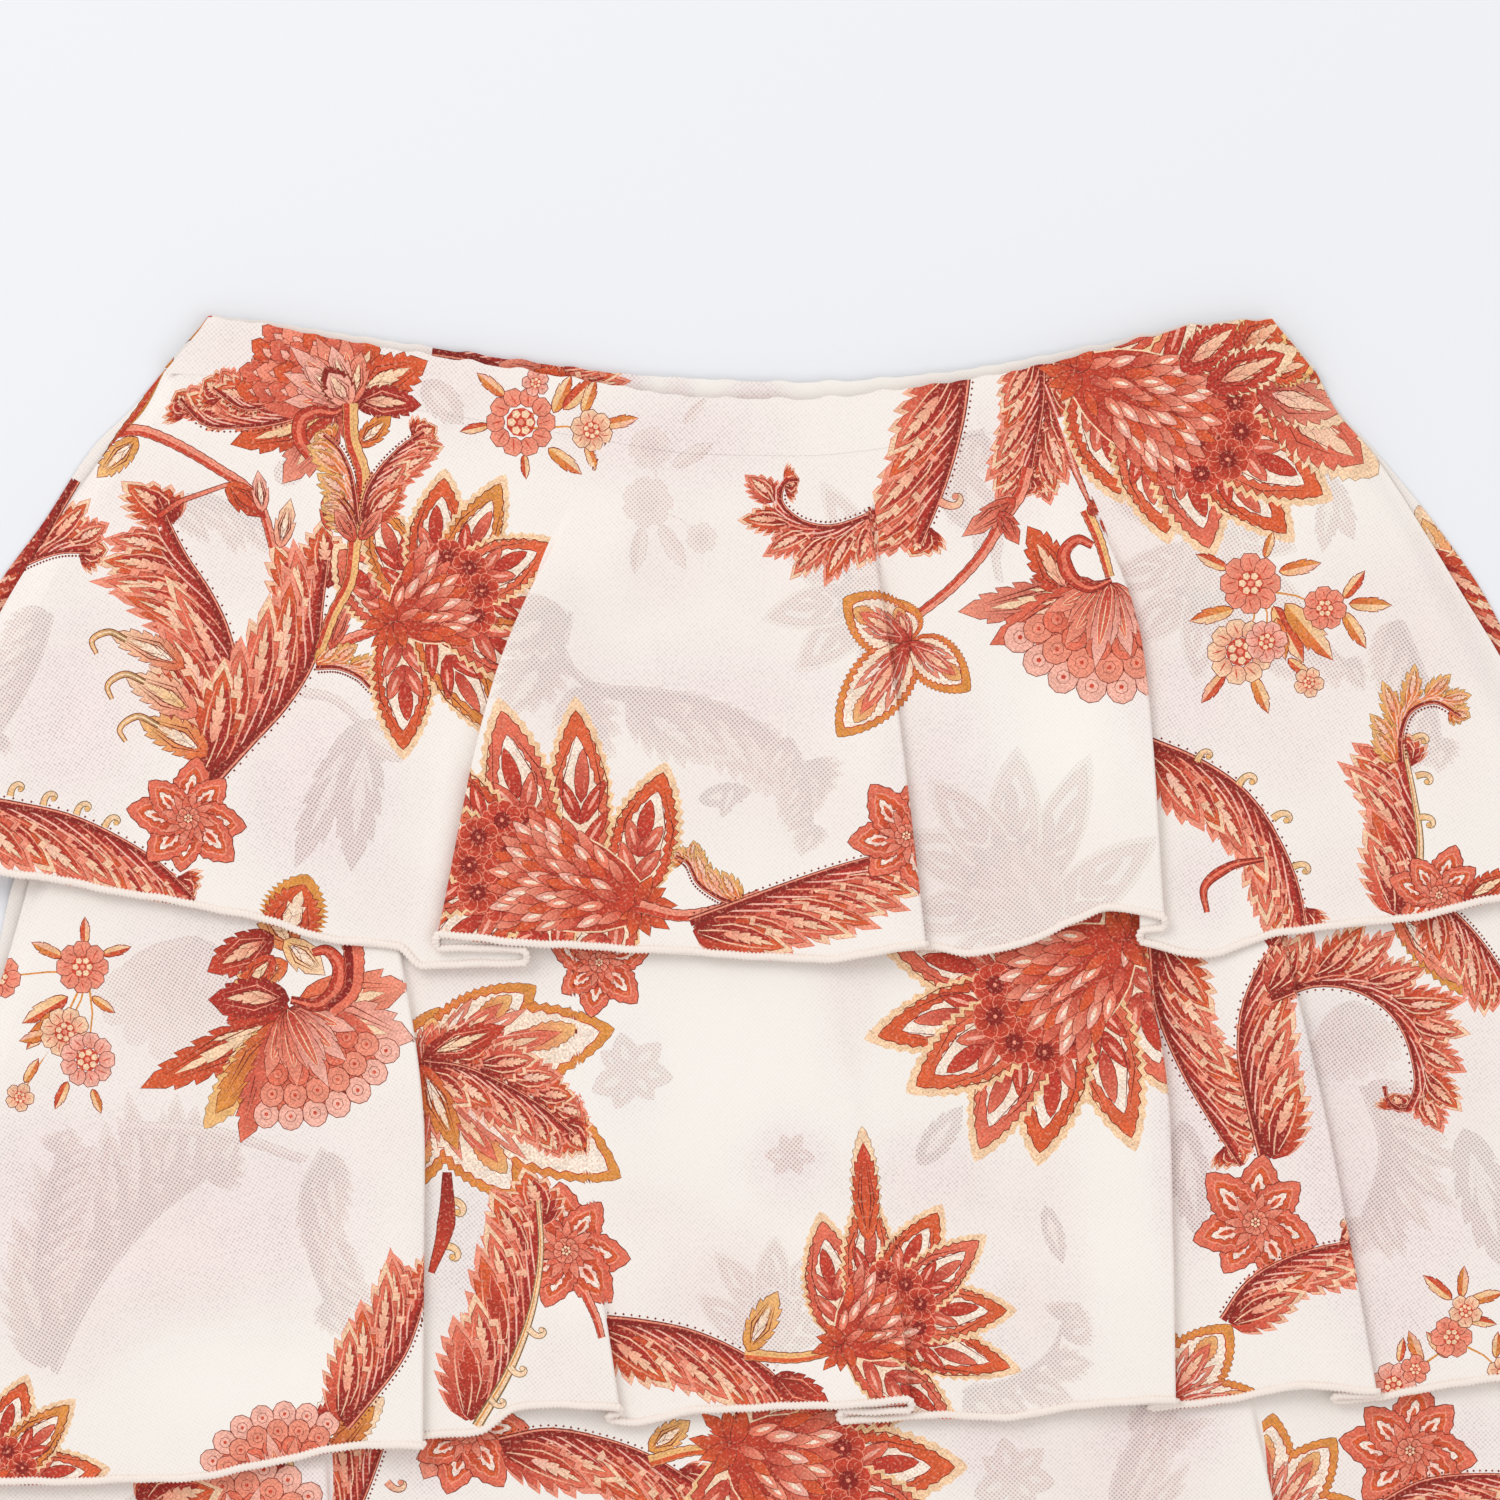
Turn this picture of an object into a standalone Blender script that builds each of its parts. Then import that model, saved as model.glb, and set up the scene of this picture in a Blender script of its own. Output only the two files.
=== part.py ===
"""Tiered ruffle skirt of fine printed net, laid flat with its waist towards +Y.

The skirt is a tube pressed flat: a short base skirt on an elastic waist carries three
ruffle tiers, and each tier hangs over the seam of the next. The back lies underneath,
flat on the surface at z = 0, and the front lies on it with its knife folds pressed over.
Every place is given in millimetres, as x across from the middle and the drop down from
the two corners of the waist.
"""
import math
from dataclasses import dataclass

import bmesh
import bpy
import numpy as np

MM = 0.001
LENGTH = 516.5          # waist corners to the lowest hem
WALL = 1.0              # cloth wall
GAP = 0.3               # clearance between pieces
PITCH = WALL + GAP      # one layer of cloth on another
BEND = 0.9              # radius of a fold's turn, at mid wall
SLACK = 1.2             # cloth in each turn of a fold where it still lies open
STRAIGHT = 0.8          # least stretch of cloth between a fold's two turns
CASING_DEPTH = 17.0     # elastic casing, top edge to stitch line
CASING_WALL = 2 * PITCH - GAP
WAIST_SEAM = CASING_DEPTH + 1.5 * GAP  # drop of the cloth's edge under the casing
EASE = 38.0             # width over which a lifted fold settles back on the panel
SIDE_ROLL = (6.0, 18.0)  # width of the rolled side, at seam and hem
STEP_START = 3.0        # a back tier steps down on the surface this far past the one outside it
STEP_RUN = 12.0         # drop over which it does so
FRONT_LAG = 30.0        # the front's rolled side steps down this much further on
TURN_STEPS = 3          # segments in each turn of a fold
NO_TURN = 1e-4          # a fold's turn in radians where the cloth runs straight on
FRONT_ROWS = 7          # rows of a front tier's mesh
BACK_ROWS = 7           # rows of a back tier's mesh
BASE_ROWS = 5           # rows of the base's mesh
CASING_ROWS = 2         # rows of a casing's mesh
BASE_EXTRA = 5.0        # the base runs on this far past the third tier's seam
COLUMN = 30.0           # widest column of the mesh, at the hem
BACK_COLUMN = 40.0      # the same, on the flat back
WAIST_COLUMN = 16.0     # the same, on the casings, which curve with the waist
BASE_COLUMN = 21.0      # the same, on the base, whose hem is wider than its waist
ROLL_COLUMNS = (0.0, 0.35, 0.7)  # columns across a rolled side

# Top edge of the waist, front and back: x, drop
WAIST_FRONT = ((-184, 0.5), (-160, 2), (-131, 7.5), (-102, 12.5), (-70, 17.6), (-45, 21.8),
               (-13, 26.4), (19, 27.0), (50, 24.0), (83, 19.0), (115, 11.5), (147, 3.4), (184, 0.5))
WAIST_BACK = ((-184, 0.0), (-160, 1.2), (-131, 5.5), (-70, 14.6), (-30, 19.5), (20, 21.5),
              (60, 19.0), (115, 9.5), (147, 2.6), (184, 0.0))
CASING_SIDE = (170.0, 184.0)  # half width of the casing, at its top and its foot

# Seam lines of the tiers on the base: x, drop
SEAM_2 = ((-222, 158), (-100, 175), (0, 179), (120, 174), (246, 162))
SEAM_3 = ((-266, 350), (-150, 342), (0, 327), (140, 323), (284, 322))

# Side edges: share of the way from seam to hem, x
TIER_1_LEFT = ((0, -184), (0.07, -190), (0.15, -202), (0.3, -219), (0.45, -234), (0.7, -254),
               (1, -268))
TIER_1_RIGHT = ((0, 184), (0.07, 190.5), (0.15, 202.5), (0.3, 219.5), (0.42, 231.5), (0.55, 244),
                (0.75, 260), (1, 275))
TIER_2_LEFT = ((0, -222), (0.12, -228), (0.25, -236), (0.6, -262), (1, -287))
TIER_2_RIGHT = ((0, 246), (0.25, 259), (0.6, 282), (1, 306))
TIER_3_LEFT = ((0, -266), (0.3, -285), (0.6, -308), (1, -334))
TIER_3_RIGHT = ((0, 284), (0.3, 299), (0.6, 316), (1, 334))
BASE_LEFT = ((0, -175), (0.2, -196), (0.5, -206), (1, -238))
BASE_RIGHT = ((0, 175), (0.2, 196), (0.5, 206), (1, 238))
# How far the back shows past the front at the sides: share, width
PEEK_LEFT = ((0, 0), (0.12, 5), (0.25, 3), (0.4, 6), (0.6, 1), (1, 3))
PEEK_RIGHT = ((0, 0), (0.2, 1), (0.38, 6), (0.55, 4), (0.8, 1), (1, 3))

# Hems of the front, one table for each strip between folds: x, drop
HEM_1 = (
    ((-268, 177), (-237, 179), (-195, 186), (-157, 193), (-128, 201), (-109, 203), (-101, 209),
     (-66, 208)),
    ((-97, 199), (-70, 201.6), (-13, 204.8), (25, 207), (42, 205), (58, 202)),
    ((46, 204), (60, 203), (72, 204.8), (90, 202), (106, 194.6), (118, 190.6), (134, 193)),
    ((126, 201), (147, 205.4), (173, 198.4), (218, 193), (243, 187.2), (275, 183)),
)
HEM_2 = (
    ((-287, 372), (-237, 373.8), (-173, 372.2), (-150, 367.5), (-115, 361.6), (-101, 362.2)),
    ((-122, 361), (-100, 359), (-83, 357.4), (-72, 350.5), (-58, 348.8), (-39, 350)),
    ((-44, 354), (-34, 354.6), (-13, 351), (35, 348.8), (54, 347.5)),
    ((31, 354.6), (61, 352.6), (84, 353), (115, 348.5), (138, 347.5)),
    ((130, 350), (147, 348.8), (182, 343), (202, 344.6)),
    ((188, 348), (204, 346.6), (243, 340.8), (306, 344)),
)
HEM_3 = (
    ((-334, 510), (-260, 516), (-190, 512), (-150, 506), (-121, 507)),
    ((-136, 503), (-100, 500), (-60, 498), (-12, 503), (6, 502)),
    ((-22, 496), (20, 497), (80, 500), (140, 494), (188, 492)),
    ((168, 497), (200, 495), (260, 489), (334, 492)),
)
# Hems of the back: x, drop
HEM_1_BACK = ((-271, 174), (-200, 183), (-100, 197), (0, 201), (120, 194), (200, 190), (278, 181))
HEM_2_BACK = ((-290, 369), (-180, 368), (-60, 349), (60, 346), (180, 341), (309, 341))
HEM_3_BACK = ((-334, 508), (-190, 509), (0, 495), (160, 491), (334, 490))

# Height of each front piece's mid wall over the surface: drop, height
LEVEL_TIER_1 = ((0, 4.4), (40, 5.0), (80, 6.2), (118, 7.0), (150, 9.4), (215, 9.4))
LEVEL_TIER_2 = ((150, 5.7), (215, 5.8), (285, 6.4), (314, 9.2), (380, 9.2))
LEVEL_TIER_3 = ((315, 5.7), (358, 5.7), (400, 3.6), (520, 3.2))
LEVEL_BASE_FRONT = ((0, 3.1), (60, 3.1), (110, 4.4), (380, 4.4))


@dataclass(frozen=True)
class Fold:
    """A knife fold, from the seam down to the hem.

    over is the strip that lies on top, seam_x, belly_x and hem_x place its edge, opens and
    closes are the shares of the drop where the cloth starts to turn and lies doubled, and
    lap is the width doubled at the hem.
    """

    over: str
    seam_x: float
    belly_x: float
    hem_x: float
    opens: float
    closes: float
    lap: float


#            over     seam  belly   hem    opens closes lap
FOLDS_1 = (
    Fold("right", -42.0, -79.0, -97.0, 0.12, 0.40, 29.0),
    Fold("left", 38.0, 50.0, 59.5, 0.05, 0.40, 10.0),
    Fold("left", 99.0, 129.0, 135.5, 0.05, 0.45, 8.0),
)
FOLDS_2 = (
    Fold("left", -113.0, -100.5, -101.0, 0.02, 0.35, 18.0),
    Fold("left", -56.0, -50.0, -38.0, 0.70, 0.88, 4.0),
    Fold("left", 34.0, 46.0, 54.7, 0.74, 0.90, 23.0),
    Fold("left", 122.0, 137.5, 139.0, 0.05, 0.40, 8.0),
    Fold("left", 166.0, 187.0, 203.4, 0.05, 0.35, 14.0),
)
FOLDS_3 = (
    Fold("left", -134.0, -128.0, -120.0, 0.06, 0.40, 14.0),
    Fold("right", 2.0, -8.0, -22.0, 0.30, 0.60, 24.0),
    Fold("left", 158.0, 176.0, 189.0, 0.06, 0.40, 18.0),
)


def smooth(share):
    """0 to 1 with level ends, for a share that may run past both."""
    share = np.clip(share, 0.0, 1.0)
    return share * share * (3.0 - 2.0 * share)


def curve(table, at):
    """Smooth curve through a table's rows of place and value, with no overshoot."""
    places, values = np.array(table, dtype=float).T
    step = np.diff(places)
    steep = np.diff(values) / step
    turning = steep[:-1] * steep[1:] <= 0
    total = np.where(turning, 1.0, steep[:-1] + steep[1:])
    inner = np.where(turning, 0.0, 2 * steep[:-1] * steep[1:] / total)
    slopes = np.concatenate([steep[:1], inner, steep[-1:]])
    at = np.clip(at, places[0], places[-1])
    row = np.clip(np.searchsorted(places, at) - 1, 0, len(places) - 2)
    step = step[row]
    t = (at - places[row]) / step
    rest = 1.0 - t
    return (values[row] * rest * rest * (1 + 2 * t) + values[row + 1] * t * t * (3 - 2 * t)
            + step * t * rest * (slopes[row] * rest - slopes[row + 1] * t))


def columns(start, end, steps, roll_start, roll_end):
    """Places from start to end in even steps, and finer ones across a rolled side."""
    rolled = np.array(ROLL_COLUMNS)
    head = start + roll_start * rolled if roll_start else []
    tail = end - roll_end * rolled[::-1] if roll_end else []
    middle = np.linspace(start + roll_start, end - roll_end, steps + 1)
    return np.concatenate([head, middle, tail])


class FoldSection:
    """A fold cut across at one share of the drop: two turns with a flat stretch between."""

    def __init__(self, fold, share):
        self.over_left = fold.over == "left"
        closed = float(smooth((share - fold.opens) / (fold.closes - fold.opens)))
        self.turn = max(math.pi * closed, NO_TURN)
        self.radius = BEND + SLACK * (1 - closed) / self.turn
        doubled = min(max((share - fold.closes) / (1.0 - fold.closes), 0.0), 1.0)
        flat = STRAIGHT + (fold.lap - 2 * BEND - STRAIGHT) * doubled
        edge = float(curve(((0, fold.seam_x), (0.5, fold.belly_x), (1, fold.hem_x)), share))
        bulge = self.radius * math.sin(min(self.turn, math.pi / 2))
        run = 2 * self.radius * math.sin(self.turn) + flat * math.cos(self.turn)
        self.start = edge - bulge if self.over_left else edge + bulge - run
        self.end = self.start + run
        self.rise = 2 * self.radius * (1 - math.cos(self.turn)) + flat * math.sin(self.turn)

    def points(self):
        """Rows of x, height over the lower strip and share of the way along the fold."""
        side = -1.0 if self.over_left else 1.0
        first = np.linspace(0.0, self.turn, TURN_STEPS + 1)
        x_first = self.start + self.radius * np.sin(first)
        z_first = side * self.radius * (1 - np.cos(first))
        second = self.turn - first
        x_last = self.end - self.radius * np.sin(second)
        z_last = side * (self.rise - self.radius * (1 - np.cos(second)))
        x = np.concatenate([x_first, x_last])
        z = np.concatenate([z_first, z_last]) + (self.rise if self.over_left else 0.0)
        return x, z, np.linspace(0.0, 1.0, len(x))


@dataclass(frozen=True)
class Panel:
    """A piece of cloth between a seam, two side edges and a hem, with the folds across it."""

    seam: tuple
    hems: tuple
    left: tuple
    right: tuple
    folds: tuple = ()
    level: tuple = ()
    under: object = None    # height of the piece that the rolled sides come down on
    column: float = COLUMN

    def section(self, share):
        """Rows of x, drop and height across the panel at a share of the way to its hem."""
        folds = [FoldSection(fold, share) for fold in self.folds]
        starts = [float(curve(self.left, share))] + [fold.end for fold in folds]
        ends = [fold.start for fold in folds] + [float(curve(self.right, share))]
        roll = self.roll(share)
        x, drop, lift = [], [], []
        for place, hem in enumerate(self.hems):
            steps = max(3, math.ceil((hem[-1][0] - hem[0][0]) / self.column))
            across = columns(starts[place], ends[place], steps, roll * (place == 0),
                             roll * (place == len(folds)))
            up = np.zeros_like(across)
            if place > 0 and not folds[place - 1].over_left:
                up += folds[place - 1].rise * (1 - smooth((across - starts[place]) / EASE))
            if place < len(folds) and folds[place].over_left:
                up += folds[place].rise * (1 - smooth((ends[place] - across) / EASE))
            x.append(across)
            drop.append(curve(hem, across))
            lift.append(up)
            if place < len(folds):
                fold_x, fold_z, along = folds[place].points()
                near = curve(hem, ends[place])
                far = curve(self.hems[place + 1], starts[place + 1])
                inner = slice(1, -1)
                x.append(fold_x[inner])
                drop.append((near + (far - near) * along)[inner])
                lift.append(fold_z[inner])
        x, drop, lift = (np.concatenate(rows) for rows in (x, drop, lift))
        drop = self.dropped(x, drop, share)
        return x, drop, self.height(x, drop, lift, share)

    def dropped(self, x, hem, share):
        """Drop at a share of the way from the seam to a drop of the hem."""
        return curve(self.seam, x) * (1 - share) + hem * share

    def roll(self, share):
        """Width of the rolled side, none on a panel that lies level to its edges."""
        return 0.0 if self.under is None else SIDE_ROLL[0] + (SIDE_ROLL[1] - SIDE_ROLL[0]) * share

    def height(self, x, drop, lift, share):
        """Height of the mid wall, with the sides rolled down on the piece beneath."""
        if self.under is None:
            return curve(self.level, drop) + lift
        inside = np.minimum(x - float(curve(self.left, share)), float(curve(self.right, share)) - x)
        rest = self.under(x, drop) + PITCH
        return rest + (curve(self.level, drop) + lift - rest) * smooth(inside / self.roll(share))


@dataclass(frozen=True)
class BackPanel(Panel):
    """A panel of the back, flat on the surface beyond the hem of the tier outside it."""

    outer_hem: tuple = ()

    def dropped(self, x, hem, share):
        """Drop at a share, with a row on each side of the step past the tier outside it."""
        if not self.outer_hem:
            return super().dropped(x, hem, share)
        top = curve(self.outer_hem, x) + STEP_START
        foot = top + STEP_RUN
        before, after = 1 / BACK_ROWS, 2 / BACK_ROWS
        if share <= before:
            return curve(self.seam, x) + (top - curve(self.seam, x)) * share / before
        if share <= after:
            return top + (foot - top) * (share - before) / (after - before)
        return foot + (hem - foot) * (share - after) / (1 - after)

    def height(self, x, drop, lift, share):
        """Half a wall up, and one layer more where the tier outside it runs beneath."""
        return back_height(self.outer_hem, x, drop)


def back_height(outer_hem, x, drop):
    """Height of a back tier's mid wall: on the surface past outer_hem, over that tier above it."""
    if not outer_hem:
        return np.full_like(np.asarray(x, dtype=float), WALL / 2)
    past = (drop - curve(outer_hem, x) - STEP_START) / STEP_RUN
    return WALL / 2 + PITCH * (1 - smooth(past))


def lowered(table, by):
    """A table of place and value, such as x and drop, with by added to every value."""
    return tuple((place, value + by) for place, value in table)


def widened(table, by, sign):
    """A side's table of share and x, moved outwards by a table of share and width."""
    return tuple((share, x + sign * float(curve(by, share))) for share, x in table)


def cloth_object(name, panel, rows, thickness, colour, collection):
    """An open grid bent to a panel's sections, with its wall from Solidify."""
    sections = [panel.section(share) for share in np.linspace(0.0, 1.0, rows + 1)]
    columns = len(sections[0][0]) - 1
    bm = bmesh.new()
    bmesh.ops.create_grid(bm, x_segments=columns, y_segments=rows, size=0.5)
    for vert in bm.verts:
        column = round((vert.co.x + 0.5) * columns)
        row = round((0.5 - vert.co.y) * rows)
        x, drop, height = (values[column] for values in sections[row])
        vert.co = (x * MM, (LENGTH / 2 - drop) * MM, height * MM)
    mesh = bpy.data.meshes.new(name)
    bm.to_mesh(mesh)
    bm.free()
    mesh.shade_smooth()
    obj = bpy.data.objects.new(name, mesh)
    collection.objects.link(obj)
    wall = obj.modifiers.new("wall", "SOLIDIFY")
    wall.thickness = thickness * MM
    wall.offset = 0.0
    wall.use_even_offset = True
    mesh.materials.append(cloth_material(name, colour))
    return obj


def cloth_material(name, colour):
    """Matt cloth in one colour."""
    material = bpy.data.materials.new(name + "_cloth")
    material.use_nodes = True
    shader = material.node_tree.nodes["Principled BSDF"]
    shader.inputs["Base Color"].default_value = (*colour, 1.0)
    shader.inputs["Roughness"].default_value = 0.85
    shader.inputs["Metallic"].default_value = 0.0
    material.diffuse_color = (*colour, 1.0)
    return material


IVORY = (0.93, 0.88, 0.84)
BLUSH = (0.86, 0.70, 0.63)
CORAL = (0.80, 0.42, 0.32)


def casing_panel(waist, height):
    """The elastic casing of one side, between the waist's top edge and its stitch line."""
    top, foot = CASING_SIDE
    return Panel(seam=waist, hems=(lowered(waist, CASING_DEPTH),), left=((0, -top), (1, -foot)),
                 right=((0, top), (1, foot)), level=((0, height), (LENGTH, height)),
                 column=WAIST_COLUMN)


def build_casings(collection):
    """The front and back casings, each as thick as the two layers that run into it."""
    back = casing_panel(WAIST_BACK, CASING_WALL / 2)
    front = casing_panel(WAIST_FRONT, CASING_WALL * 1.5 + GAP)
    cloth_object("casing_back", back, CASING_ROWS, CASING_WALL, IVORY, collection)
    cloth_object("casing_front", front, CASING_ROWS, CASING_WALL, IVORY, collection)


def build_base(collection):
    """The base skirt, front and back, from the casing to just below the third tier's seam."""
    halves = (("base_back", WAIST_BACK, -PITCH), ("base_front", WAIST_FRONT, 0.0))
    for name, waist, over_front in halves:
        panel = Panel(seam=lowered(waist, WAIST_SEAM), hems=(lowered(SEAM_3, BASE_EXTRA),),
                      left=BASE_LEFT, right=BASE_RIGHT, level=lowered(LEVEL_BASE_FRONT, over_front),
                      column=BASE_COLUMN)
        cloth_object(name, panel, BASE_ROWS, WALL, BLUSH, collection)


def build_back_tiers(collection):
    """The three tiers of the back, each flat on the surface past the one above."""
    tiers = (
        ("tier_1_back", lowered(WAIST_BACK, WAIST_SEAM), HEM_1_BACK, TIER_1_LEFT, TIER_1_RIGHT, ()),
        ("tier_2_back", SEAM_2, HEM_2_BACK, TIER_2_LEFT, TIER_2_RIGHT, HEM_1_BACK),
        ("tier_3_back", SEAM_3, HEM_3_BACK, TIER_3_LEFT, TIER_3_RIGHT, HEM_2_BACK),
    )
    for name, seam, hem, left, right, outer_hem in tiers:
        last = name == "tier_3_back"
        panel = BackPanel(seam=seam, hems=(hem,), outer_hem=outer_hem,
                          left=left if last else widened(left, PEEK_LEFT, -1),
                          right=right if last else widened(right, PEEK_RIGHT, 1),
                          column=BASE_COLUMN if name == "tier_1_back" else BACK_COLUMN)
        cloth_object(name, panel, BACK_ROWS, WALL, CORAL, collection)


def build_front_tiers(collection):
    """The three tiers of the front, with their knife folds, each lapped by the one above."""
    tiers = (
        ("tier_3_front", SEAM_3, HEM_3, TIER_3_LEFT, TIER_3_RIGHT, FOLDS_3, LEVEL_TIER_3, HEM_2_BACK),
        ("tier_2_front", SEAM_2, HEM_2, TIER_2_LEFT, TIER_2_RIGHT, FOLDS_2, LEVEL_TIER_2, HEM_1_BACK),
        ("tier_1_front", lowered(WAIST_FRONT, WAIST_SEAM), HEM_1, TIER_1_LEFT, TIER_1_RIGHT,
         FOLDS_1, LEVEL_TIER_1, ()),
    )
    for name, seam, hems, left, right, folds, level, outer_hem in tiers:
        def under(x, drop, outer=outer_hem):
            return back_height(outer, x, drop - FRONT_LAG)
        panel = Panel(seam=seam, hems=hems, left=left, right=right, folds=folds, level=level,
                      under=under)
        cloth_object(name, panel, FRONT_ROWS, WALL, CORAL, collection)


def main():
    """Clear the scene and build the skirt in a collection of its own."""
    for obj in list(bpy.data.objects):
        bpy.data.objects.remove(obj, do_unlink=True)
    collection = bpy.data.collections.new("tiered_ruffle_skirt")
    bpy.context.scene.collection.children.link(collection)
    build_back_tiers(collection)
    build_base(collection)
    build_front_tiers(collection)
    build_casings(collection)


main()
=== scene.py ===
"""Looks of a tiered ruffle skirt of fine printed net, laid flat with its waist towards +Y.

Each layer of cloth is a thin shell on the form of its solid, cut into strips between its
knife folds. Places on the cloth are in millimetres, as x across from the middle and the drop
down from the two corners of the waist, and angles turn clockwise from +x as the cloth is
seen. The floral print is drawn as flat shapes, one over another, and the cloth's mesh is
cut along their edges, so that each face carries one ink.
"""
from __future__ import annotations

import logging
import math
from collections.abc import Callable, Iterable
from dataclasses import dataclass, field
from enum import Enum

import bpy
import numpy as np
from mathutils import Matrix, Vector
from mathutils.geometry import delaunay_2d_cdt

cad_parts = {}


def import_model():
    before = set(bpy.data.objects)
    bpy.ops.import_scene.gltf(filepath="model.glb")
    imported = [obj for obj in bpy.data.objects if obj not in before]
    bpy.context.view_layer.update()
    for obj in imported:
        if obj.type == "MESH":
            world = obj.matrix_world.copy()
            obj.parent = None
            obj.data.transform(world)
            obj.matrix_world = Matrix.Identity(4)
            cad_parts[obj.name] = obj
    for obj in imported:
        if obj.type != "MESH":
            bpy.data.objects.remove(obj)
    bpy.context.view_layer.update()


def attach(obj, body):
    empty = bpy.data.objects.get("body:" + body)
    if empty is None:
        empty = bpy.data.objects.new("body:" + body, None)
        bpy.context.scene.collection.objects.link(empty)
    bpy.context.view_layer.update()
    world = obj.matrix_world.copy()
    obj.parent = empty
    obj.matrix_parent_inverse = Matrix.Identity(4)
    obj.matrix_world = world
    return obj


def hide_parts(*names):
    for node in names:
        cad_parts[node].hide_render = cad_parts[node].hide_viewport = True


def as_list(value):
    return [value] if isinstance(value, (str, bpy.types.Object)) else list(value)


LOG = logging.getLogger("skirt")
Table = tuple[tuple[float, ...], ...]
Array = np.ndarray

MM = 0.001
LENGTH = 516.5            # waist corners to the lowest hem
WALL = 1.0                # cloth wall of the solids
PITCH = 1.3               # one layer of cloth on another
BEND, SLACK, STRAIGHT, NO_TURN = 0.9, 1.2, 0.8, 1e-4
CASING_DEPTH = 17.0
WAIST_SEAM = 17.45
EASE = 38.0               # width over which a lifted fold settles back on the panel
SIDE_ROLL = (6.0, 18.0)   # width of the rolled side, at seam and hem
STEP_START, STEP_RUN, FRONT_LAG = 3.0, 12.0, 30.0
TURN_STEPS = 6            # segments in each turn of a fold
BAND_ROWS = 120           # rows down a fold
VEIL = 0.34               # how strongly the print beneath shows through the net
VEIL_LEAST = 3.6          # the smallest shape that can be made out through it
VEIL_RIMMED = 12          # the smallest whose outline can be
VEIL_CORNERS = 30         # an outline of more points is thinned under the net
VEIL_GREY, VEIL_HUE, VEIL_GREYED = "#857476", 0.42, 0.58
FOOT_POINTS, HEM_POINTS = 90, 200     # along a strip's foot, and along its overlocked hem
LIFTED = 0.7              # share of a fold's flat stretch over which the cloth stays up
SLOPE_STEP = 0.4          # step over which the cloth's slope is measured
WELD = 1e-3               # points nearer than this are one

# Top edge of the waist, front and back: x, drop
WAIST_FRONT = ((-184, 0.5), (-160, 2), (-131, 7.5), (-102, 12.5), (-70, 17.6), (-45, 21.8),
               (-13, 26.4), (19, 27.0), (50, 24.0), (83, 19.0), (115, 11.5), (147, 3.4), (184, 0.5))
WAIST_BACK = ((-184, 0.0), (-160, 1.2), (-131, 5.5), (-70, 14.6), (-30, 19.5), (20, 21.5),
              (60, 19.0), (115, 9.5), (147, 2.6), (184, 0.0))
CASING_SIDE = (170.0, 184.0)

# Seam lines of the tiers on the base: x, drop
SEAM_2 = ((-222, 158), (-100, 175), (0, 179), (120, 174), (246, 162))
SEAM_3 = ((-266, 350), (-150, 342), (0, 327), (140, 323), (284, 322))

# Side edges: share of the way from seam to hem, x
TIER_1_LEFT = ((0, -184), (0.07, -190), (0.15, -202), (0.3, -219), (0.45, -234), (0.7, -254),
               (1, -268))
TIER_1_RIGHT = ((0, 184), (0.07, 190.5), (0.15, 202.5), (0.3, 219.5), (0.42, 231.5), (0.55, 244),
                (0.75, 260), (1, 275))
TIER_2_LEFT = ((0, -222), (0.12, -228), (0.25, -236), (0.6, -262), (1, -287))
TIER_2_RIGHT = ((0, 246), (0.25, 259), (0.6, 282), (1, 306))
TIER_3_LEFT = ((0, -266), (0.3, -285), (0.6, -308), (1, -334))
TIER_3_RIGHT = ((0, 284), (0.3, 299), (0.6, 316), (1, 334))
BASE_LEFT = ((0, -175), (0.2, -196), (0.5, -206), (1, -238))
BASE_RIGHT = ((0, 175), (0.2, 196), (0.5, 206), (1, 238))
PEEK_LEFT = ((0, 0), (0.12, 5), (0.25, 3), (0.4, 6), (0.6, 1), (1, 3))
PEEK_RIGHT = ((0, 0), (0.2, 1), (0.38, 6), (0.55, 4), (0.8, 1), (1, 3))

# Hems of the front, one table for each strip between folds: x, drop
HEM_1 = (
    ((-268, 177), (-237, 179), (-195, 186), (-157, 193), (-128, 201), (-109, 203), (-101, 209),
     (-66, 208)),
    ((-97, 199), (-70, 201.6), (-13, 204.8), (25, 207), (42, 205), (58, 202)),
    ((46, 204), (60, 203), (72, 204.8), (90, 202), (106, 194.6), (118, 190.6), (134, 193)),
    ((126, 201), (147, 205.4), (173, 198.4), (218, 193), (243, 187.2), (275, 183)),
)
HEM_2 = (
    ((-287, 372), (-237, 373.8), (-173, 372.2), (-150, 367.5), (-115, 361.6), (-101, 362.2)),
    ((-122, 361), (-100, 359), (-83, 357.4), (-72, 350.5), (-58, 348.8), (-39, 350)),
    ((-44, 354), (-34, 354.6), (-13, 351), (35, 348.8), (54, 347.5)),
    ((31, 354.6), (61, 352.6), (84, 353), (115, 348.5), (138, 347.5)),
    ((130, 350), (147, 348.8), (182, 343), (202, 344.6)),
    ((188, 348), (204, 346.6), (243, 340.8), (306, 344)),
)
HEM_3 = (
    ((-334, 510), (-260, 516), (-190, 512), (-150, 506), (-121, 507)),
    ((-136, 503), (-100, 500), (-60, 498), (-12, 503), (6, 502)),
    ((-22, 496), (20, 497), (80, 500), (140, 494), (188, 492)),
    ((168, 497), (200, 495), (260, 489), (334, 492)),
)
HEM_1_BACK = ((-271, 174), (-200, 183), (-100, 197), (0, 201), (120, 194), (200, 190), (278, 181))
HEM_2_BACK = ((-290, 369), (-180, 368), (-60, 349), (60, 346), (180, 341), (309, 341))
HEM_3_BACK = ((-334, 508), (-190, 509), (0, 495), (160, 491), (334, 490))

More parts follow.
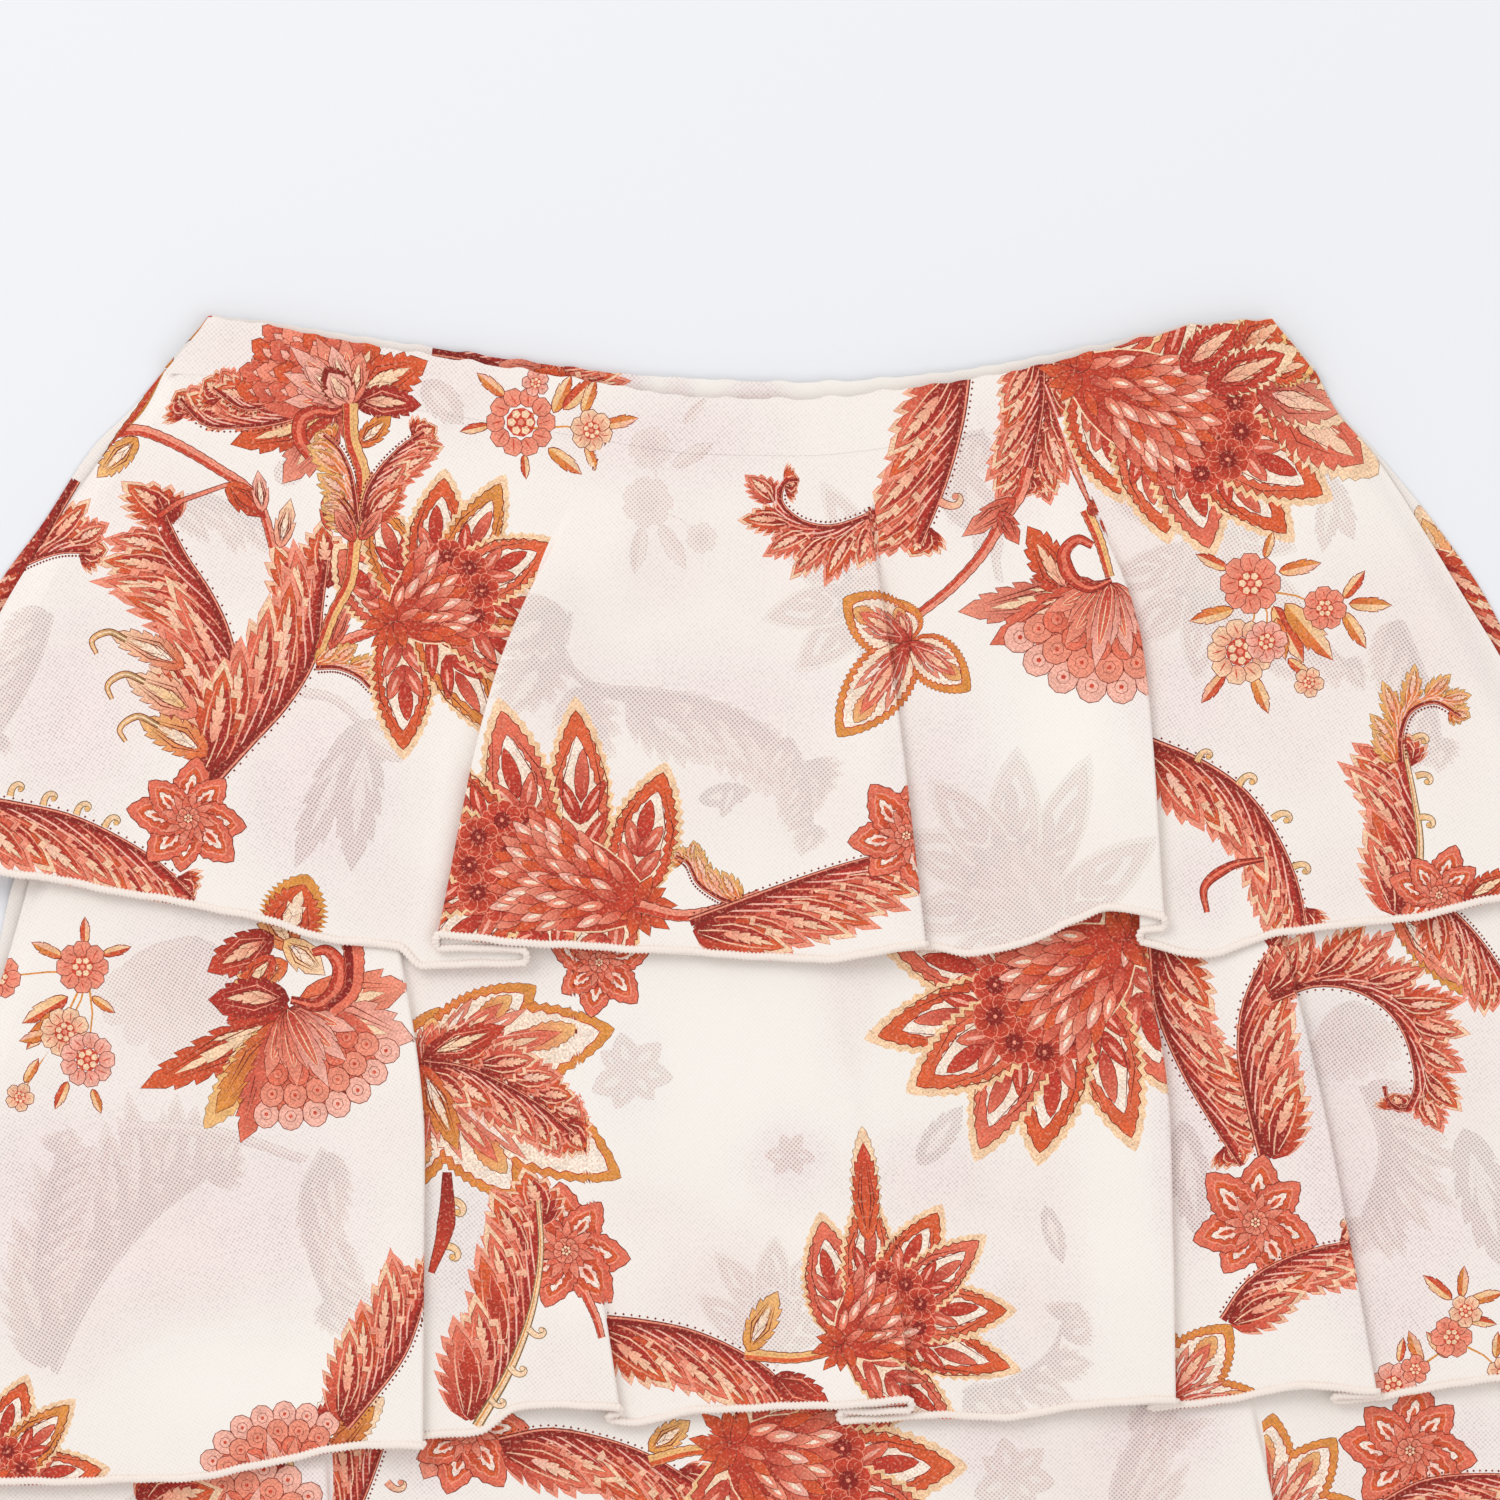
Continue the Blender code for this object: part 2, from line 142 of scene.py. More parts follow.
# Height of each front piece's mid wall over the surface: drop, height
LEVEL_TIER_1 = ((0, 4.4), (40, 5.0), (80, 6.2), (118, 7.0), (150, 9.4), (215, 9.4))
LEVEL_TIER_2 = ((150, 5.7), (215, 5.8), (285, 6.4), (314, 9.2), (380, 9.2))
LEVEL_TIER_3 = ((315, 5.7), (358, 5.7), (400, 3.6), (520, 3.2))
LEVEL_BASE_FRONT = ((0, 3.1), (60, 3.1), (110, 4.4), (380, 4.4))


class Over(Enum):
    """Which of the two strips at a fold lies on top."""

    LEFT = "left"
    RIGHT = "right"


@dataclass(frozen=True)
class Fold:
    """A knife fold from seam to hem: its edge's places, where it opens and closes, its lap."""

    over: Over
    seam_x: float
    belly_x: float
    hem_x: float
    opens: float
    closes: float
    lap: float


#            over        seam  belly   hem    opens closes lap
FOLDS_1 = (
    Fold(Over.RIGHT, -42.0, -79.0, -97.0, 0.12, 0.40, 29.0),
    Fold(Over.LEFT, 38.0, 50.0, 59.5, 0.05, 0.40, 10.0),
    Fold(Over.LEFT, 99.0, 129.0, 135.5, 0.05, 0.45, 8.0),
)
FOLDS_2 = (
    Fold(Over.LEFT, -113.0, -100.5, -101.0, 0.02, 0.35, 18.0),
    Fold(Over.LEFT, -56.0, -50.0, -38.0, 0.70, 0.88, 4.0),
    Fold(Over.LEFT, 34.0, 46.0, 54.7, 0.74, 0.90, 23.0),
    Fold(Over.LEFT, 122.0, 137.5, 139.0, 0.05, 0.40, 8.0),
    Fold(Over.LEFT, 166.0, 187.0, 203.4, 0.05, 0.35, 14.0),
)
FOLDS_3 = (
    Fold(Over.LEFT, -134.0, -128.0, -120.0, 0.06, 0.40, 14.0),
    Fold(Over.RIGHT, 2.0, -8.0, -22.0, 0.30, 0.60, 24.0),
    Fold(Over.LEFT, 158.0, 176.0, 189.0, 0.06, 0.40, 18.0),
)


def smooth(share: Array) -> Array:
    """0 to 1 with level ends, for a share that may run past both."""
    share = np.clip(share, 0.0, 1.0)
    return share * share * (3.0 - 2.0 * share)


def curve(table: Table, at: Array) -> Array:
    """Smooth curve through a table, with no overshoot.

    Args:
        table: Rows of place and value.
        at: Places to read it at.

    Returns:
        The values there, held level past both ends.
    """
    places, values = np.array(table, dtype=float).T
    step = np.diff(places)
    steep = np.diff(values) / step
    turning = steep[:-1] * steep[1:] <= 0
    total = np.where(turning, 1.0, steep[:-1] + steep[1:])
    inner = np.where(turning, 0.0, 2 * steep[:-1] * steep[1:] / total)
    slopes = np.concatenate([steep[:1], inner, steep[-1:]])
    at = np.clip(at, places[0], places[-1])
    row = np.clip(np.searchsorted(places, at) - 1, 0, len(places) - 2)
    step = step[row]
    t = (at - places[row]) / step
    rest = 1.0 - t
    return (values[row] * rest * rest * (1 + 2 * t) + values[row + 1] * t * t * (3 - 2 * t)
            + step * t * rest * (slopes[row] * rest - slopes[row + 1] * t))


def lowered(table: Table, by: float) -> Table:
    """A table of place and value, with by added to every value."""
    return tuple((place, value + by) for place, value in table)


def widened(table: Table, by: Table, sign: int) -> Table:
    """A side's table of share and x, moved outwards by a table of share and width."""
    return tuple((share, x + sign * float(curve(by, share))) for share, x in table)


def ruched(table: Table, by: float) -> Table:
    """The same table with the small uneven rise and fall of an edge drawn in by elastic."""
    x = np.arange(table[0][0], table[-1][0] + 1, 2.3)
    bumps = np.sin(x / 2.6) * (0.6 + 0.4 * np.sin(x / 17)) + 0.45 * np.sin(x / 1.31 + 1.4)
    return tuple(zip(x.tolist(), (curve(table, x) + by * bumps).tolist()))


def linear(hex_colour: str) -> tuple[float, float, float]:
    """Linear red, green and blue of an sRGB hex colour."""
    parts = [int(hex_colour[i:i + 2], 16) / 255 for i in (1, 3, 5)]
    return tuple(c / 12.92 if c <= 0.04045 else ((c + 0.055) / 1.055) ** 2.4 for c in parts)


class Ink(Enum):
    """The print's inks, dark to light."""

    LINE = "#7E2E22"
    MAROON = "#8E2620"
    CRIMSON = "#B5342A"
    BRICK = "#CB4630"
    ORANGE = "#DD6034"
    CORAL = "#E6745A"
    SALMON = "#EF947B"
    PINK = "#F5B8A6"
    OCHRE = "#DF9445"
    HONEY = "#F0BA78"
    PEACH = "#F8D3AE"
    CREAM = "#FAEADB"
    OLIVE = "#86683F"

    @property
    def rgb(self) -> Array:
        """The ink's linear colour."""
        return np.array(linear(self.value))


# ------------------------------------------------------------------ flat shapes

def turned(points: Array, degrees: float) -> Array:
    """Points turned clockwise about the origin."""
    a = math.radians(degrees)
    return points @ np.array(((math.cos(a), math.sin(a)), (-math.sin(a), math.cos(a))))


def set_at(points: Array, x: float, drop: float, degrees: float = 0.0) -> Array:
    """Points turned about the origin and then moved to x, drop."""
    return turned(np.asarray(points, float), degrees) + (x, drop)


def aimed(degrees: float, far: float = 1.0) -> Array:
    """x and drop of a step of some length at an angle."""
    return far * np.array((math.cos(math.radians(degrees)), math.sin(math.radians(degrees))))


def grown(points: Array, by: float) -> Array:
    """A closed outline moved outwards by a distance along its corners' normals."""
    ahead = np.roll(points, -1, 0) - points
    ahead /= np.linalg.norm(ahead, axis=1, keepdims=True) + 1e-9
    along = ahead + np.roll(ahead, 1, 0)
    along /= np.linalg.norm(along, axis=1, keepdims=True) + 1e-9
    x, y = points.T
    area = np.sum(x * np.roll(y, -1) - np.roll(x, -1) * y)
    out = np.stack([along[:, 1], -along[:, 0]], 1) * (1.0 if area > 0 else -1.0)
    return points + by * out


def petal(length: float, width: float, teeth: int = 0, depth: float = 0.14,
          bend: float = 0.0, blunt: float = 0.75, steps: int = 5) -> Array:
    """Outline of a petal or leaf from the origin along +x.

    Args:
        length: From base to tip.
        width: Across at its widest.
        teeth: Serrations down each side, none for a plain edge.
        depth: Share of the width that a tooth stands out.
        bend: Share of the length that the tip swings sideways.
        blunt: Below 1 a fuller tip, above 1 a finer one.
        steps: Points down each side of a plain edge.

    Returns:
        Its closed outline.
    """
    if teeth:
        t = np.array([0.08] + [0.16 + 0.84 * (k + part) / (teeth + 0.3)
                               for k in range(teeth) for part in (0.1, 0.8)])
        out = 1 + depth * np.minimum(1.0, t / 0.4) * np.array([0] + [-1.0, 1.0] * teeth)
    else:
        t = (np.arange(steps) + 0.6) / steps
        t = t[t < 0.97]
        out = np.ones_like(t)
    peak = 0.62 / (0.62 + blunt)
    half = width / 2 * out * (t / peak) ** 0.62 * ((1 - t) / (1 - peak)) ** blunt
    upper = np.stack([t * length, -half], 1)
    lower = np.stack([t * length, half], 1)[::-1]
    points = np.concatenate([[(0.0, 0.0)], upper, [(length, 0.0)], lower])
    points[:, 1] += bend * length * (points[:, 0] / length) ** 2
    return points


def frond(length: float, width: float, points: int = 4, depth: float = 0.26,
          bend: float = 0.0, blunt: float = 0.8) -> Array:
    """Outline of a leaf from the origin along +x, its edge in points that lean to its tip.

    Args:
        length: From base to tip.
        width: Across at its widest.
        points: Points down each side.
        depth: Share of the width that the notches cut in.
        bend: Share of the length that the tip swings sideways.
        blunt: Below 1 a fuller tip, above 1 a finer one.

    Returns:
        Its closed outline.
    """
    peak = 0.62 / (0.62 + blunt)
    rows = [(0.07 + 0.87 * (k + along) / points, 0.07 + 0.87 * (k + at) / points, out)
            for k in range(points)
            for along, at, out in ((0.02, 0.02, 1 - depth * min(1, k)), (0.45, 0.45, 1.0),
                                   (1.12, 0.8, 1 + depth * 0.55))]
    along, at, out = np.array(rows[:-1]).T
    half = width / 2 * out * (at / peak) ** 0.62 * ((1 - at) / (1 - peak)) ** blunt
    upper = np.stack([along * length, -half], 1)
    outline = np.concatenate([[(0.0, 0.0)], upper, [(length, 0.0)], (upper * (1, -1))[::-1]])
    outline[:, 1] += bend * length * (outline[:, 0] / length) ** 2
    return outline


def disc(radius: float, sides: int = 8, squash: float = 1.0) -> Array:
    """A round outline about the origin."""
    a = np.arange(sides) * 2 * math.pi / sides
    return np.stack([radius * np.cos(a), radius * squash * np.sin(a)], 1)


def path(points: Table, steps: int) -> Array:
    """Evenly spaced points on a smooth curve through a few given ones."""
    p = np.array(points, float)
    if len(p) == 2:
        return p[0] + (p[1] - p[0]) * np.linspace(0, 1, steps)[:, None]
    along = np.concatenate([[0.0], np.cumsum(np.linalg.norm(np.diff(p, axis=0), axis=1))])
    tangent = np.gradient(p, along, axis=0)
    at = np.linspace(0, along[-1], steps)
    row = np.clip(np.searchsorted(along, at) - 1, 0, len(p) - 2)
    step = (along[row + 1] - along[row])[:, None]
    t = ((at - along[row]) / (along[row + 1] - along[row]))[:, None]
    rest = 1 - t
    return (p[row] * rest * rest * (1 + 2 * t) + p[row + 1] * t * t * (3 - 2 * t)
            + step * t * rest * (tangent[row] * rest - tangent[row + 1] * t))


def headed(line: Array) -> tuple[Array, Array]:
    """Unit steps along a line of points, and their angles in degrees."""
    along = np.gradient(line, axis=0)
    along /= np.linalg.norm(along, axis=1, keepdims=True) + 1e-9
    return along, np.degrees(np.arctan2(along[:, 1], along[:, 0]))


def ribbon(line: Array, widths: Array) -> Array:
    """Closed outline of a band of changing width along a line."""
    along, _ = headed(line)
    side = np.stack([-along[:, 1], along[:, 0]], 1) * np.asarray(widths)[:, None] / 2
    return np.concatenate([line + side, (line - side)[::-1]])


@dataclass
class Shape:
    """One flat area of ink, fading from its seat outwards."""

    points: Array
    near: Array
    far: Array
    seat: tuple[float, float]
    reach: float
    cover: float = 1.0      # less where it lies under the net


class Print:
    """The inked shapes of one cloth, in the order in which they are laid down."""

    def __init__(self, fine: bool = True, veiled: bool = False) -> None:
        """An empty cloth.

        Args:
            fine: Whether the finest strokes are laid too.
            veiled: Whether the print lies under the net, greyed and faint.
        """
        self.shapes: list[Shape] = []
        self.fine = fine and not veiled
        self.veiled = veiled

    def lay(self, points: Array, near: Ink, far: Ink | None = None,
            seat: Array | None = None) -> None:
        """Lays one shape over those before it.

        Args:
            points: Closed outline.
            near: Ink at the seat.
            far: Ink at the shape's far end, the same as near if left out.
            seat: Where the fade starts, the outline's first point if left out.
        """
        origin = points[0] if seat is None else np.asarray(seat, float)
        reach = float(np.linalg.norm(points - origin, axis=1).max()) + 1e-6
        colours, cover = [near.rgb, (far or near).rgb], 1.0
        if self.veiled:
            if np.ptp(points, axis=0).max() < VEIL_LEAST:
                return
            points = points[::2] if len(points) > VEIL_CORNERS else points
            cover = VEIL * (1.25 - 0.75 * float(colours[0][:2].mean()))
            grey = np.array(linear(VEIL_GREY))
            colours = [ink * VEIL_HUE + grey * VEIL_GREYED for ink in colours]
        self.shapes.append(Shape(points, *colours, tuple(origin), reach, cover))

    def edged(self, points: Array, near: Ink, far: Ink | None = None, rim: float = 0.3,
              line: Ink = Ink.LINE, seat: Array | None = None) -> None:
        """Lays a shape with a thin line around it."""
        if not self.veiled or np.ptp(points, axis=0).max() > VEIL_RIMMED:
            self.lay(grown(points, rim), line)
        self.lay(points, near, far, seat)

    def stroke(self, line: Array, width: float, ink: Ink, far: Ink | None = None) -> None:
        """Lays a fine stroke, pointed at both ends, unless fine strokes are left out."""
        if self.fine and not self.veiled:
            widths = width * np.sin(np.linspace(0.25, math.pi - 0.15, len(line)))
            self.lay(ribbon(line, widths), ink, far)


# ------------------------------------------------------------------ motifs

@dataclass(frozen=True)
class Motif:
    """Something printed on the cloth, on the strips from first to last only."""

    strips: tuple[int, int]

    def draw(self, cloth: Print) -> None:
        """Lays the motif's shapes on the cloth."""
        raise NotImplementedError


def rosette(cloth: Print, x: float, drop: float, radius: float, lobes: int = 8,
            near: Ink = Ink.CORAL, far: Ink = Ink.PINK, line: Ink = Ink.LINE,
            heart: Ink = Ink.MAROON, turn: float = 0.0, seeds: int = 6) -> None:
    """Lays a ring of round petals about a heart of small ones.

    Args:
        cloth: Where it is printed.
        x: Middle, across.
        drop: Middle, down.
        radius: Out to the petals' ends.
        lobes: Number of petals.
        near: Ink at the petals' seats.
        far: Ink at their ends.
        line: Ink of their outlines.
        heart: Ink between the small petals.
        turn: Degrees that the ring is turned.
        seeds: Number of small petals in the heart.
    """
    middle = np.array((x, drop))
    size = radius * min(0.42, 2.7 / lobes)
    for k in range(lobes):
        angle = turn + 360 * k / lobes
        place = middle + aimed(angle, radius - size)
        round_petal = disc(size, 10, 0.96)
        round_petal[0, 0] *= 0.82
        cloth.edged(set_at(round_petal, *place, angle), near, far, 0.26, line, seat=middle)
        if seeds:
            crease = np.array(((0.5, 0.05), (0.66, 0.0), (0.84, -0.06))) * radius
            cloth.stroke(set_at(crease, x, drop, angle), radius * 0.05, heart)
    small = radius * 0.125
    cloth.lay(set_at(disc(radius * 0.42, 9), x, drop), heart)
    for k in range(seeds if cloth.fine else 0):
        place = middle + aimed(60 * k + turn, radius * 0.26)
        cloth.lay(set_at(disc(small, 5), *place), Ink.PEACH)
    cloth.lay(set_at(disc(small * 0.8, 5), x, drop), Ink.SALMON)


def two_tone(cloth: Print, x: float, drop: float, length: float, angle: float,
             dark: Ink = Ink.ORANGE, side: int = 1, light: Ink = Ink.PEACH) -> None:
    """Lays a small leaf, one half dark and the other pale, as block printers shade them.

    Args:
        cloth: Where it is printed.
        x: Base of the leaf, across.
        drop: Base of the leaf, down.
        length: From base to tip.
        angle: Where the tip points.
        dark: Ink of the shaded half.
        side: 1 or -1, the half that is shaded.
        light: Ink of the other half.
    """
    leaf = frond(length * 0.9, length * 0.29, 3, 0.16)
    cloth.edged(set_at(leaf, x, drop, angle), Ink.HONEY, light, 0.34, Ink.MAROON)
    n = len(leaf) // 2
    half = leaf[:n + 1] if side > 0 else np.concatenate([leaf[n:], leaf[:1]])
    cloth.lay(set_at(half, x, drop, angle), dark, Ink.OCHRE if dark is Ink.ORANGE else Ink.ORANGE)
    for start in (0.2, 0.42, 0.64):
        vein = np.array(((start, 0.0), (start + 0.16, -0.1 * side))) * length
        cloth.stroke(set_at(vein, x, drop, angle), 0.4, Ink.LINE)


def hook(cloth: Print, x: float, drop: float, size: float, angle: float, side: int,
         ink: Ink = Ink.HONEY) -> None:
    """Lays a tendril that runs out at an angle and curls round to one side at its tip."""
    t = np.linspace(0.0, 1.0, 12)
    swing = angle + side * (245 * t ** 1.9 - 12)
    step = size * (1.25 - 0.85 * t) / 10
    line = np.cumsum(np.stack([np.cos(np.radians(swing)), np.sin(np.radians(swing))], 1)
                     * step[:, None], 0) + (x, drop)
    width = size * (0.2 - 0.1 * t)
    cloth.lay(ribbon(line, width + 0.6), Ink.LINE if ink is Ink.SALMON else Ink.OLIVE)
    cloth.lay(ribbon(line, width), ink, Ink.PEACH)
    cloth.edged(set_at(disc(size * 0.09, 6), *line[-1]), ink, ink, 0.2, Ink.OLIVE)


@dataclass(frozen=True)
class Stalk(Motif):
    """A stem along a few points, its one edge in shade, with short strokes down it."""

    points: Table
    width: float = 2.6
    dark: Ink = Ink.BRICK
    light: Ink = Ink.SALMON

    def draw(self, cloth: Print) -> None:
        """Lays the stem with its shaded edge and short strokes."""
        count = 8 + 6 * len(self.points)
        line = path(self.points, count)
        t = np.linspace(0, 1, count)
        along, _ = headed(line)
        width = self.width * (1.1 - 0.35 * t) * (1 + 0.08 * np.sin(np.arange(count) * 2.1))
        side = np.stack([-along[:, 1], along[:, 0]], 1)
        cloth.lay(ribbon(line, width + 0.6), Ink.LINE)
        cloth.lay(ribbon(line, width), self.light)
        cloth.lay(ribbon(line + side * (width * 0.26)[:, None], width * 0.42), self.dark)
        for k in range(1, count - 2, 2):
            cloth.stroke(line[k:k + 2] - side[k:k + 2] * width[k] * 0.22, 0.55, Ink.CRIMSON)


@dataclass(frozen=True)
class Bloom(Motif):
    """A great flower seen from the side: long petals fanned about a scaly heart."""

    x: float
    drop: float
    stem_x: float
    stem_drop: float
    radius: float
    petals: int = 7
    spread: float = 100.0
    gold: bool = False          # an ochre body, not a red one
    lean: float = 0.1           # how much longer the petals grow to one side

    def draw(self, cloth: Print) -> None:
        """Lays the petals from the outside in, then the heart."""
        heart, stem = np.array((self.x, self.drop)), np.array((self.stem_x, self.stem_drop))
        out = heart - stem
        facing = math.degrees(math.atan2(out[1], out[0]))
        places = np.linspace(-1, 1, self.petals)
        for rank, place in sorted(enumerate(places), key=lambda row: (-abs(row[1]), row[0] % 2)):
            base = heart - out * 0.85 * place ** 2
            reach = self.radius * (0.92 + 0.12 * abs(place)) * (1 + self.lean * place)
            reach *= 1.0 if rank % 2 else 0.95
            run = heart + aimed(facing + self.spread * place, reach) - base
            self._petal(cloth, base, math.degrees(math.atan2(run[1], run[0])), float(np.hypot(*run)), rank)
        self._heart(cloth, heart, out, facing)

    def _petal(self, cloth: Print, base: Array, angle: float, length: float, rank: int) -> None:
        """Lays one petal: fringe, body, pale ring and a dark leaf within it."""
        wide = self.radius * (0.41, 0.37)[rank % 2]
        red = ((Ink.BRICK, Ink.CORAL), (Ink.CORAL, Ink.ORANGE), (Ink.BRICK, Ink.ORANGE))[rank % 3]
        body = (Ink.ORANGE, Ink.OCHRE) if self.gold and rank % 2 else red
        bend = 0.05 * (-1) ** rank

        def lay(along: float, long: float, broad: float, teeth: int, depth: float, inks: tuple[Ink, Ink],
                rim: float, line: Ink = Ink.LINE) -> None:
            """Lays one of the petal's outlines, from a share of its length out."""
            outline = petal(length * long, wide * broad, teeth, depth, bend, 0.85) + (length * along, 0)
            cloth.edged(set_at(outline, *base, angle), *inks, rim, line)

        lay(0.0, 1.05, 1.12, 12, 0.07, (Ink.HONEY, Ink.PEACH), 0.25, Ink.PEACH)
        lay(0.0, 0.97, 0.96, 11, 0.09, body, 0.34)
        lay(0.06, 0.77, 0.68, 8, 0.08, (Ink.PEACH, Ink.CREAM), 0.3, Ink.MAROON)
        for at, off, size in ((0.16, -30, 0.3), (0.16, 30, 0.3), (0.34, -27, 0.28), (0.34, 27, 0.28),
                              (0.46, 0, 0.3)):
            leaflet = set_at(petal(length * size, wide * 0.24, steps=4), length * at, 0.0, off)
            cloth.edged(set_at(leaflet, *base, angle), Ink.CRIMSON,
                        Ink.CORAL if (rank + int(at * 9)) % 2 else Ink.BRICK, 0.26)
            slit = set_at(petal(length * size * 0.5, wide * 0.06, steps=3) + (length * size * 0.3, 0),
                          length * at, 0.0, off)
            if cloth.fine and at < 0.4:
                cloth.lay(set_at(slit, *base, angle), Ink.SALMON, Ink.PINK)
        for side in (-1, 1):
            for out, far in ((0.42, 0.3), (0.4, 0.44)):
                line = np.array(((0.34, 0.4), (0.58, out), (0.84, 0.16))) * (length, side * wide)
                cloth.stroke(set_at(line * (1, far / 0.4), *base, angle), 0.45, Ink.LINE)

    def _heart(self, cloth: Print, heart: Array, out: Array, facing: float) -> None:
        """Lays the heart's ground, its rosettes, and the scales that narrow to the stem."""
        long = float(np.hypot(*out))
        stem = heart - out
        ground = petal(long + self.radius * 0.28, self.radius * 0.62, blunt=0.5, steps=8)
        cloth.edged(set_at(ground, *stem, facing), Ink.BRICK, Ink.MAROON, 0.5, Ink.PEACH)
        for k, (off, far) in enumerate(((-95, 0.26), (95, 0.26), (-58, 0.28), (58, 0.28), (-20, 0.27),
                                        (20, 0.27), (-60, 0.08), (60, 0.08))):
            rosette(cloth, *heart + aimed(facing + off, self.radius * far), self.radius * 0.13, 8,
                    Ink.MAROON if k % 3 else Ink.CRIMSON, Ink.BRICK, Ink.SALMON, Ink.MAROON, off, 0)
        side = np.array((-out[1], out[0])) / long
        scale = self.radius * 0.11
        rows = max(6, int(long / (scale * 0.62)))
        for row in range(rows):
            share = row / (rows - 1)
            half = self.radius * 0.26 * (1 - share ** 1.5) + self.radius * 0.012
            across = max(1, int(2 * half / (scale * 0.56)))
            for k in range(across):
                place = ((k + 0.5 * (row % 2)) / max(1, across - 0.5)) * 2 - 1
                seat = heart - out * (0.2 + 0.76 * share - 0.12 * (1 - place ** 2)) + side * half * place
                angle = facing + 42 * place
                tone = (row * 2 + k) % 5
                near, far = ((Ink.BRICK, Ink.SALMON), (Ink.CORAL, Ink.PINK), (Ink.CRIMSON, Ink.CORAL),
                             (Ink.CORAL, Ink.SALMON), (Ink.BRICK, Ink.ORANGE))[tone]
                size = scale * (1.2 - 0.3 * share)
                cloth.edged(set_at(petal(size * 1.6, size * 0.6, steps=4, blunt=0.8), *seat, angle),
                            near, far, 0.22)
                if tone in (1, 3) and cloth.fine:
                    slit = petal(size * 0.8, size * 0.2, steps=3) + (size * 0.45, 0)
                    cloth.lay(set_at(slit, *seat, angle), Ink.PEACH, Ink.CREAM)
        for off, size in ((-150, 0.24), (150, 0.24), (-118, 0.2), (118, 0.2), (-85, 0.2), (85, 0.2)):
            sepal = frond(self.radius * size, self.radius * 0.09, 2, 0.2, bend=0.2 * np.sign(off))
            cloth.edged(set_at(sepal, *stem + out * 0.08, facing + off), Ink.CRIMSON, Ink.ORANGE)


@dataclass(frozen=True)
class Star(Motif):
    """A flower of pointed petals seen from the front."""

    x: float
    drop: float
    radius: float
    petals: int = 7
    turn: float = 0.0

    def draw(self, cloth: Print) -> None:
        """Lays two rings of petals and the heart."""
        def lay(angle: float, length: float, wide: float, teeth: int, depth: float,
                inks: tuple[Ink, Ink], rim: float, line: Ink = Ink.LINE, start: float = 0.0) -> None:
            """Lays one petal about the middle."""
            outline = petal(length, wide, teeth, depth, 0.06, 0.85) + (start, 0.0)
            cloth.edged(set_at(outline, self.x, self.drop, angle), *inks, rim, line)

        for k in range(self.petals):
            angle = self.turn + 360 * k / self.petals + 5 * (-1) ** k
            long = self.radius * (1.04, 0.9, 0.98)[k % 3]
            lay(angle, long, long * 0.64, 5, 0.07, (Ink.BRICK, Ink.CORAL), 0.34)
            lay(angle, long * 0.82, long * 0.45, 4, 0.08, (Ink.CRIMSON, Ink.ORANGE), 0.5, Ink.SALMON)
            lay(angle, long * 0.46, long * 0.2, 3, 0.2, (Ink.PINK, Ink.CREAM), 0.24, Ink.MAROON, long * 0.26)
            lay(angle, long * 0.24, long * 0.07, 0, 0.0, (Ink.CRIMSON, Ink.ORANGE), 0.16, Ink.ORANGE,
                long * 0.36)
        for k in range(2 * self.petals):
            angle = self.turn + 180 * (k + 0.5) / self.petals
            lay(angle, self.radius * (0.46 - 0.1 * (k % 2)), self.radius * 0.15, 0, 0.0,
                (Ink.BRICK, Ink.CORAL if k % 2 else Ink.SALMON), 0.2)
        rosette(cloth, self.x, self.drop, self.radius * 0.2, 8, Ink.BRICK, Ink.SALMON, turn=self.turn)


